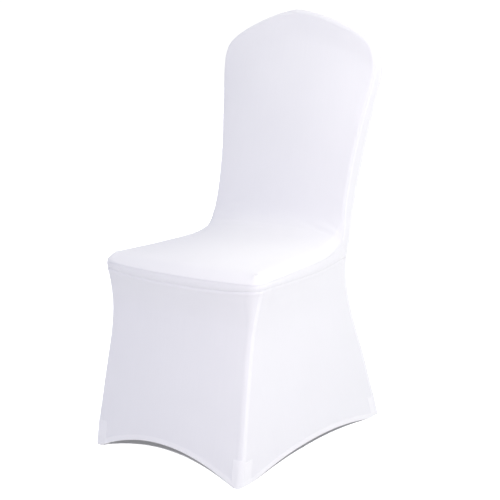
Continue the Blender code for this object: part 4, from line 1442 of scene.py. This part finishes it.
def pocket_row(seam, round_radius, slant, sign, z, inset):
    """One level of a pocket's outer face, where inset is 0, or of its inner face."""
    full = ramp(z, 0, POCKET_SOLE)
    reach = [low + (high - low) * full for low, high in zip(SOLE_REACH, POCKET_REACH)]
    tuck = POCKET_TUCK * (1 - ramp(z, 0, TUCK_HEIGHT))
    x, y = (np.interp(z, seam[::-1, 2], seam[::-1, k]) for k in range(2))
    ring = pocket_ring(round_radius, reach, inset + tuck, slant * sign)
    waves = np.abs(np.sin(np.arange(len(ring)) * SAG_ROUND + z * SAG_UP)) * ramp(z, *SAG_FROM)
    ring = ring - unit(ring - ring.mean(0)) * POCKET_SAG * waves[:, None]
    return np.column_stack([x - round_radius + ring[:, 0], y + sign * ring[:, 1],
                            np.full(len(ring), max(z, inset))])


def pocket_arrays(seam, round_radius, slant, at_rear):
    """Cup in the right front or right rear corner: outer face, inner face, rim and sole."""
    sign = 1.0 if at_rear else -1.0
    faces_of_cup = ((0.0, POCKET_LEVELS), (POCKET_WALL, POCKET_LEVELS[::-1]))
    rows = [pocket_row(seam, round_radius, slant, sign, z, inset)
            for inset, levels in faces_of_cup for z in levels]
    count, last = len(rows[0]), len(rows) - 1
    points = np.vstack(rows + [rows[0].mean(0), rows[last].mean(0)])
    sole, floor = len(points) - 2, len(points) - 1
    ring = [(j, (j + 1) % count) for j in range(count)]
    faces = [[k * count + a, k * count + b, (k + 1) * count + b, (k + 1) * count + a]
             for k in range(last) for a, b in ring]
    faces += [[b, a, sole] for a, b in ring]
    faces += [[last * count + a, last * count + b, floor] for a, b in ring]
    if not at_rear:
        faces = [face[::-1] for face in faces]
    around = np.linspace(0, POCKET_GIRTH, count)
    knit = np.array([[around[k % count], k // count * LEVEL_KNIT] for k in range(len(points))])
    return points, faces, knit


def make_pocket(name, points, faces, knit, scene):
    """A foot pocket's mesh."""
    width = max(len(face) for face in faces)
    padded = np.array([list(face) + [face[-1]] * (width - len(face)) for face in faces])
    return make_mesh(name, points, padded, knit, np.ones(len(points)), [pocket_knit(scene)])


# Settings

LENGTH = {"unit": "LENGTH"}
POWER = {"unit": "POWER"}
ANGLE = {"subtype": "ANGLE", "unit": "ROTATION"}
COLOUR = {"subtype": "COLOR"}
STRENGTH = {"min": 0}


def setting(name, description, default, **kind):
    """A number or a colour that a user may change."""
    make = FloatVectorProperty if isinstance(default, tuple) else FloatProperty
    return make(name=name, description=description, default=default, **kind)


class CoverCloth(PropertyGroup):
    """The stretch knit of the cover."""

    thickness: setting("Thickness", "Thickness of the stretched knit", 0.0009, **LENGTH)
    wale_pitch: setting("Wale Pitch", "Width of one column of loops", 0.0008, **LENGTH)
    course_pitch: setting("Course Pitch", "Height of one row of loops", 0.0006, **LENGTH)
    knit_depth: setting("Knit Depth", "Depth of the loops in the bump", 0.00003, **LENGTH)
    unevenness: setting("Unevenness", "Height of the soft swells in the cloth", 0.0004, **LENGTH)
    sheen: setting("Sheen", "Soft sheen of the fibres", 0.25, min=0, max=1, subtype="FACTOR")
    colour: setting("Colour", "White of a single layer", (0.84, 0.84, 0.875), **COLOUR)
    double_colour: setting("Doubled Colour", "White of two layers", (0.89, 0.89, 0.918), **COLOUR)
    pocket_colour: setting("Pocket Colour", "White of the foot pockets", (0.86, 0.86, 0.88), **COLOUR)


class CoverSeams(PropertyGroup):
    """The seams between the panels."""

    allowance_clear: setting("Allowance Clearance", "From the cloth to the sewn edges",
                             0.0002, **LENGTH)
    ditch_depth: setting("Ditch Depth", "Depth of the groove at a seam", 0.00018, **LENGTH)
    ditch_width: setting("Ditch Width", "Width of the groove at a seam", 0.0011, **LENGTH)
    gap: setting("Gap", "Between the edges of two panels", 0.00003, **LENGTH)
    pucker: setting("Pucker", "Height of the small waves beside a seam", 0.00012, **LENGTH)
    pucker_pitch: setting("Pucker Pitch", "Length of one wave beside a seam", 0.019, **LENGTH)
    stitch_length: setting("Stitch Length", "Length of one hem stitch", 0.0026, **LENGTH)
    stitch_gap: setting("Stitch Gap", "Between two stitches in a row", 0.0006, **LENGTH)
    thread_thickness: setting("Thread Thickness", "Thickness of the thread", 0.00032, **LENGTH)
    thread_colour: setting("Thread Colour", "White of the thread", (0.86, 0.86, 0.88), **COLOUR)


class CoverHem(PropertyGroup):
    """The turned-up hem and the foot pockets in its corners."""

    width: setting("Width", "Width of the turned-up hem", 0.0105, **LENGTH)
    rise: setting("Rise", "How far the second layer lifts the cloth", 0.0006, **LENGTH)
    row_inset: setting("Row Inset", "From the hem's inner edge to the upper row", 0.0014, **LENGTH)
    row_gap: setting("Row Gap", "Between the two stitch rows", 0.0030, **LENGTH)
    stitch_depth: setting("Stitch Depth", "How deep the stitches draw the cloth", 0.0004, **LENGTH)
    pocket_rise: setting("Pocket Rise", "How far a pocket lifts the cloth", 0.0007, **LENGTH)


class CoverStage(PropertyGroup):
    """The floor, the lights and the camera."""

    floor_colour: setting("Floor Colour", "Colour of the floor", (0.6, 0.6, 0.6), **COLOUR)
    floor_glow: setting("Floor Glow", "Light that the camera sees in the floor's shadows",
                        0.2, **STRENGTH)
    floor_size: setting("Floor Size", "Radius of the floor", 30.0, **LENGTH)
    floor_bounce: setting("Floor Bounce", "Colour of the floor as the cover sees it",
                          (0.30, 0.30, 0.30), **COLOUR)
    floor_light: setting("Floor Light", "Strength of the low light that falls on the floor only",
                         12.0, **STRENGTH)
    floor_light_slope: setting("Floor Light Slope", "The floor light's angle above level",
                               radians(31.0), **ANGLE)
    sky: setting("Sky", "Strength of the even light", 0.725, **STRENGTH)
    sky_colour: setting("Sky Colour", "Colour of the even light", (0.83, 0.845, 1.0), **COLOUR)
    key_light: setting("Key Light", "Power of the soft light on the right", 6.5, **POWER)
    key_light_colour: setting("Key Colour", "Colour of the key light", (1.0, 0.97, 0.91), **COLOUR)
    near_light: setting("Near Light", "Power of the small light before the near corner", 1.7, **POWER)
    near_light_colour: setting("Near Colour", "Colour of the near light", (1.0, 0.85, 0.82), **COLOUR)
    side_light: setting("Side Light", "Power of the low light on the right", 3.8, **POWER)
    side_light_colour: setting("Side Colour", "Colour of the side light", (1.0, 0.98, 1.0), **COLOUR)
    top_light: setting("Top Light", "Power of the large light above", 19.0, **POWER)
    top_light_colour: setting("Top Colour", "Colour of the top light", (1.0, 0.98, 0.61), **COLOUR)
    rear_light: setting("Rear Light", "Power of the light behind the cover", 23.0, **POWER)
    rear_light_colour: setting("Rear Colour", "Colour of the rear light", (1.0, 1.0, 0.71), **COLOUR)
    azimuth: setting("Azimuth", "Camera's direction round the cover", radians(35.4), **ANGLE)
    elevation: setting("Elevation", "Camera's angle above level", radians(11.5), **ANGLE)
    distance: setting("Distance", "From the camera to its target", 2.02, **LENGTH)
    lens: setting("Lens", "Focal length in millimetres", 66.15)
    target: setting("Target", "Point that the camera looks at", (0.02690, 0.00382, 0.413),
                    subtype="TRANSLATION")


# Pieces

def settle(piece, nodes, slot):
    """The piece rides on the one body, stands for its CAD nodes and takes its slot's finish."""
    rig.ride(piece, "root")
    if nodes:
        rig.replaces(piece, *nodes)
    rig.slot(piece, slot)
    return piece


# Flat cuts, before stretching: width, length and area
POCKET_FLAT = (0.110, 0.068)
POCKET_AREA = 0.0068
FLAT = {
    "seat_and_back_cloth": (0.385, 0.890, 0.285),
    "seat_band_cloth": (0.022, 1.010, 0.0165),
    "back_band_cloth": (0.040, 1.330, 0.0385),
    "front_skirt_cloth": (0.420, 0.360, 0.122),
    "right_skirt_cloth": (0.460, 0.365, 0.133),
    "left_skirt_cloth": (0.460, 0.365, 0.133),
    "outer_back_cloth": (0.430, 0.920, 0.305),
}


def panel_piece(sheet, node, scene, lines):
    """A dressed, solid panel that stands for its node and takes the knit's finish."""
    piece = make_mesh(sheet.name, *dress(sheet, lines, scene), [cover_knit(scene)])
    return settle(piece, [node], "knit")


def declare(piece, with_pieces=()):
    """Says what the panel was cut to."""
    width, length, area = FLAT[piece.name]
    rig.sheet(piece, flat=(width, length), held="stretched", area=area, with_pieces=list(with_pieces))


def surface_of(sheet):
    """The sheet's dressed outer face, to lay stitches on."""
    return BVHTree.FromPolygons(sheet.points.tolist(), sheet.quads.tolist())


def hem_stitches(name, sheet, grid, scene):
    """The two rows of stitches along a panel's hem."""
    seams, hem = scene.cover_seams, scene.cover_hem
    paths = [row_above(grid, height) for height in stitch_heights(hem)]
    pitch = seams.stitch_length + seams.stitch_gap
    points, along, out = stitch_places(surface_of(sheet), paths, pitch, STITCH_INSET)
    return settle(sew(name, points, along, out, scene), [], "knit")


def allowance_piece(name, grids, scene):
    """A strip of turned-in edges as a piece."""
    piece = make_mesh(name, *allowance_strip(name, grids, scene), [cover_knit(scene)])
    return settle(piece, [], "knit")


class COVER_OT_seat_and_back(Operator):
    """Panel over the seat, the cove and the front of the backrest"""

    bl_idname = "cover.seat_and_back"
    bl_label = "Seat and Backrest Panel"

    def execute(self, context):
        seams = Seams()
        rings, grid = inner_panel_grids(seams)
        knit = grid_knit(grid)
        border = np.vstack([knit[0, :-1], knit[:-1, -1], knit[-1, :0:-1], knit[:0:-1, 0]])
        spread = ring_knit(border, rings, closed=True)
        closed = np.stack([np.vstack([ring, ring[:1]]) for ring in rings])
        spread = np.concatenate([spread, spread[:, :1]], 1)
        sheet = Sheet("seat_and_back_cloth").grid(grid, knit).grid(closed, spread).finish()
        lines = seams.lines()
        distance = lines["upper"].measure(sheet.points)[0]
        sheet.relax(ramp(distance, *COVE_FREE) * swell(sheet.points[:, 2], *COVE_HOLLOW), COVE_ROUNDS)
        on_seat = (1 - ramp(sheet.points[:, 1], *SEAT_REAR)) * ramp(sheet.points[:, 0], *SEAT_LEFT)
        free = on_seat * ramp(distance, 0, SHOULDER_SPREAD)
        cut = SHOULDER_CUT * free * swell(distance, SHOULDER_REACH, SHOULDER_SPREAD)
        sheet.points -= sheet.soft_normals() * cut[:, None]
        sheet.relax(free, SHOULDER_ROUNDS)
        folded = np.abs(sheet.points * (1, 0, 0)) + sheet.points * (0, 1, 1)
        near = swell(np.linalg.norm(folded - SEAT_CORNER, axis=1), 0, SEAT_CORNER_REACH)
        sheet.relax(near * ramp(distance, *SEAT_CORNER_FREE), SEAT_CORNER_ROUNDS)
        declare(panel_piece(sheet, "inner_panel", context.scene, lines))
        return {"FINISHED"}


class COVER_OT_bands(Operator):
    """Bands round the seat and round the backrest, with the sewn edges inside them"""

    bl_idname = "cover.bands"
    bl_label = "Seat and Backrest Bands"

    def execute(self, context):
        scene, seams = context.scene, Seams()
        lines = seams.lines()
        seat, back = seat_band_grid(seams), back_band_grid(seams)
        band = panel_piece(Sheet("seat_band_cloth").grid(seat).finish(), "seat_band", scene, lines)
        upper = allowance_piece("seat_seam_edges", [seat[-STRIP_ROWS:]], scene)
        declare(band, [upper])
        turned = back.transpose(1, 0, 2)
        knit = grid_knit(turned).transpose(1, 0, 2)
        sheet = Sheet("back_band_cloth").grid(back, knit).finish()
        band = panel_piece(sheet, "back_band", scene, lines)
        edges = allowance_piece(
            "backrest_seam_edges", [back[:, :STRIP_ROWS], back[:, -STRIP_ROWS:]], scene)
        declare(band, [edges])
        return {"FINISHED"}


class COVER_OT_skirts(Operator):
    """Front and side panels below the seat, with their stitched hems and sewn edges"""

    bl_idname = "cover.skirts"
    bl_label = "Front and Side Panels"

    def execute(self, context):
        scene, seams = context.scene, Seams()
        lines = seams.lines()
        front, side = front_skirt_grid(seams), side_skirt_grid(seams)
        top, near = len(SEAM_ROWS) - 3, len(SEAM_COLUMNS)    # rows and columns of the sewn edges
        for node, grid, has_sides in (("front_skirt", front, False), ("right_skirt", side, True),
                                      ("left_skirt", mirror(side)[:, ::-1], True)):
            strips = [grid[-top:]]
            if has_sides:
                strips += [grid[:-top + 1, :near], grid[:-top + 1, -near:]]
            sheet = Sheet(node + "_cloth").grid(grid).finish()
            piece = panel_piece(sheet, node, scene, lines)
            stitches = hem_stitches(node + "_hem_stitches", sheet, grid, scene)
            edges = allowance_piece(node + "_seam_edges", strips, scene)
            declare(piece, [stitches, edges])
        return {"FINISHED"}


class COVER_OT_outer_back(Operator):
    """Rear panel from the hem to the crown, with its stitched hem"""

    bl_idname = "cover.outer_back"
    bl_label = "Rear Panel"

    def execute(self, context):
        scene, seams = context.scene, Seams()
        rings, grid = outer_back_grids(seams)
        knit = grid_knit(grid)
        border = np.vstack([knit[:-1, 0], knit[-1], knit[:-1, -1][::-1]])
        spread = ring_knit(border, rings, closed=False)
        stack = np.stack(rings)
        sheet = Sheet("outer_back_cloth").grid(grid, knit).grid(stack, spread, flip=True).finish()
        lines = seams.lines()
        distance = lines["rear"].measure(sheet.points)[0]
        sheet.relax(ramp(distance, *WAIST_FREE) * swell(sheet.points[:, 2], *WAIST), WAIST_ROUNDS)
        piece = panel_piece(sheet, "outer_back", scene, lines)
        rows = 2 * len(HEM_ROWS)
        right, left = (rings[:-1, :rows].transpose(1, 0, 2) for rings in (stack, stack[:, ::-1]))
        foot = np.concatenate([right, grid[:rows], left[:, ::-1]], 1)
        declare(piece, [hem_stitches("outer_back_hem_stitches", sheet, foot, scene)])
        return {"FINISHED"}


class COVER_OT_foot_pockets(Operator):
    """Doubled pockets in the hem's corners, under the chair's feet"""

    bl_idname = "cover.foot_pockets"
    bl_label = "Foot Pockets"

    def execute(self, context):
        scene, seams = context.scene, Seams()
        front, rear = seams.corner[-1], seams.rear_low[-1]
        slant = (rear[0] - front[0]) / (rear[1] - front[1])
        for place, seam, radius, at_rear in (("front", seams.corner, FOOT_ROUND, False),
                                             ("rear", seams.rear_low, REAR_ROLL, True)):
            points, faces, knit = pocket_arrays(seam, radius, slant, at_rear)
            for side, outline, quads in (("right", points, faces),
                                         ("left", mirror(points), [face[::-1] for face in faces])):
                name = f"foot_pocket_{place}_{side}"
                piece = make_pocket(name + "_cloth", outline, quads, knit, scene)
                settle(piece, [name], "pocket_cloth")
                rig.sheet(piece, flat=POCKET_FLAT, held="stretched", area=POCKET_AREA)
        return {"FINISHED"}


def face_along(item, direction):
    """Turns a light or a camera so that it looks in a direction."""
    item.rotation_euler = direction.to_track_quat("-Z", "Y").to_euler()


def towards(azimuth, elevation):
    """Direction from the cover to what stands at these angles round it and above level."""
    return Vector((sin(azimuth) * cos(elevation), -cos(azimuth) * cos(elevation), sin(elevation)))


def soft_light(name, place, size, power, colour):
    """A large area light that faces the cover."""
    data = bpy.data.lights.new(name, "AREA")
    data.shape, data.size, data.energy, data.color = "DISK", size, power, colour
    light = add_object(name, data)
    light.location = place
    light.visible_camera = False
    face_along(light, Vector(AIM) - Vector(place))


def floor_sun(floor, stage):
    """A low light from the camera's side that only the floor receives."""
    data = bpy.data.lights.new("floor_light", "SUN")
    data.energy, data.angle = stage.floor_light, FLOOR_LIGHT_DISC
    sun = add_object("floor_light", data)
    face_along(sun, -towards(stage.azimuth + FLOOR_LIGHT_TURN, stage.floor_light_slope))
    lit = bpy.data.collections.new("floor_only")
    lit.objects.link(floor)
    sun.light_linking.receiver_collection = lit


def even_sky(stage):
    """A white room to look at, that lights the cover with a paler, slightly blue shade."""
    world = bpy.data.worlds.new("even sky")
    world.use_nodes = True
    nodes = Nodes(world.node_tree)
    light, leave = (world.node_tree.nodes[name] for name in ("Background", "World Output"))
    nodes.put(light.inputs["Color"], rgba(stage.sky_colour))
    nodes.put(light.inputs["Strength"], stage.sky)
    seen = nodes.add("ShaderNodeBackground", {"Color": rgba(WHITE), "Strength": ROOM_GLOW})
    path = nodes.add("ShaderNodeLightPath")
    choose = nodes.add("ShaderNodeMixShader", {
        0: path.outputs["Is Camera Ray"], 1: light.outputs[0], 2: seen.outputs[0]})
    nodes.put(leave.inputs["Surface"], choose.outputs[0])
    return world


def floor_paint(stage):
    """Matt floor whose colour is one thing to the camera and another to the cover."""
    paint, nodes, shader = new_material("studio floor")
    seen = nodes.add("ShaderNodeLightPath").outputs["Is Camera Ray"]
    for label, value in {
        "Base Color": nodes.mix(seen, rgba(stage.floor_bounce), rgba(stage.floor_colour)),
        "Roughness": FLOOR_ROUGHNESS,
        "Specular IOR Level": 0.0,
        "Emission Color": rgba(GLOW_COLOUR),
        "Emission Strength": nodes.maths("MULTIPLY", seen, stage.floor_glow),
    }.items():
        nodes.put(shader[label], value)
    return paint


class COVER_OT_stage(Operator):
    """Pale floor, even sky, soft lights from the right and above, and the camera"""

    bl_idname = "cover.stage"
    bl_label = "Stage"

    def execute(self, context):
        scene, stage = context.scene, context.scene.cover_stage
        mesh = bpy.data.meshes.new("studio_floor")
        turns = [2 * pi * k / FLOOR_SIDES for k in range(FLOOR_SIDES)]
        rim = [(stage.floor_size * cos(turn), stage.floor_size * sin(turn), 0.0) for turn in turns]
        mesh.from_pydata(rim, [], [list(range(FLOOR_SIDES))])
        mesh.materials.append(floor_paint(stage))
        floor = add_object("studio_floor", mesh)
        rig.stage(floor)
        floor_sun(floor, stage)
        scene.world = even_sky(stage)
        scene.view_settings.view_transform = "Standard"
        for name, place, size in LIGHTS:
            soft_light(name, place, size, getattr(stage, name), getattr(stage, name + "_colour"))
        data = bpy.data.cameras.new("camera")
        data.lens, data.sensor_width = stage.lens, SENSOR_WIDTH
        camera = add_object("camera", data)
        away = towards(stage.azimuth, stage.elevation)
        camera.location = Vector(stage.target) + away * stage.distance
        face_along(camera, -away)
        scene.camera = camera
        return {"FINISHED"}


class COVER_PT_panel(Panel):
    """Sizes and steps of the chair cover"""

    bl_idname = "COVER_PT_panel"
    bl_label = "Stretch Chair Cover"
    bl_space_type = "VIEW_3D"
    bl_region_type = "UI"
    bl_category = "Chair Cover"

    def draw(self, context):
        for name, group, steps in SECTIONS:
            box = self.layout.box()
            box.label(text=name)
            settings = getattr(context.scene, group)
            for key in settings.__annotations__:
                box.prop(settings, key)
            for step in steps:
                box.operator(step.bl_idname)


SECTIONS = (
    ("Cloth", "cover_cloth", (COVER_OT_seat_and_back, COVER_OT_outer_back)),
    ("Seams", "cover_seams", (COVER_OT_bands,)),
    ("Hem", "cover_hem", (COVER_OT_skirts, COVER_OT_foot_pockets)),
    ("Stage", "cover_stage", (COVER_OT_stage,)),
)
GROUPS = {"cover_cloth": CoverCloth, "cover_seams": CoverSeams, "cover_hem": CoverHem,
          "cover_stage": CoverStage}
STEPS = (COVER_OT_seat_and_back, COVER_OT_bands, COVER_OT_skirts, COVER_OT_outer_back,
         COVER_OT_foot_pockets, COVER_OT_stage)


def register():
    for item in (*GROUPS.values(), *STEPS, COVER_PT_panel):
        bpy.utils.register_class(item)
    for name, group in GROUPS.items():
        setattr(bpy.types.Scene, name, PointerProperty(type=group))


def unregister():
    for name in GROUPS:
        delattr(bpy.types.Scene, name)
    for item in reversed((*GROUPS.values(), *STEPS, COVER_PT_panel)):
        bpy.utils.unregister_class(item)


def main():
    register()
    for step in STEPS:
        area, name = step.bl_idname.split(".")
        getattr(getattr(bpy.ops, area), name)()
    bounds = {"cad": [list(corner) for corner in CAD_BOUNDS],
              "visual": [list(corner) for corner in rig.bounds()]}
    with open(SIZE_FILE, "w") as file:
        json.dump(bounds, file)


if __name__ == "__main__":
    main()
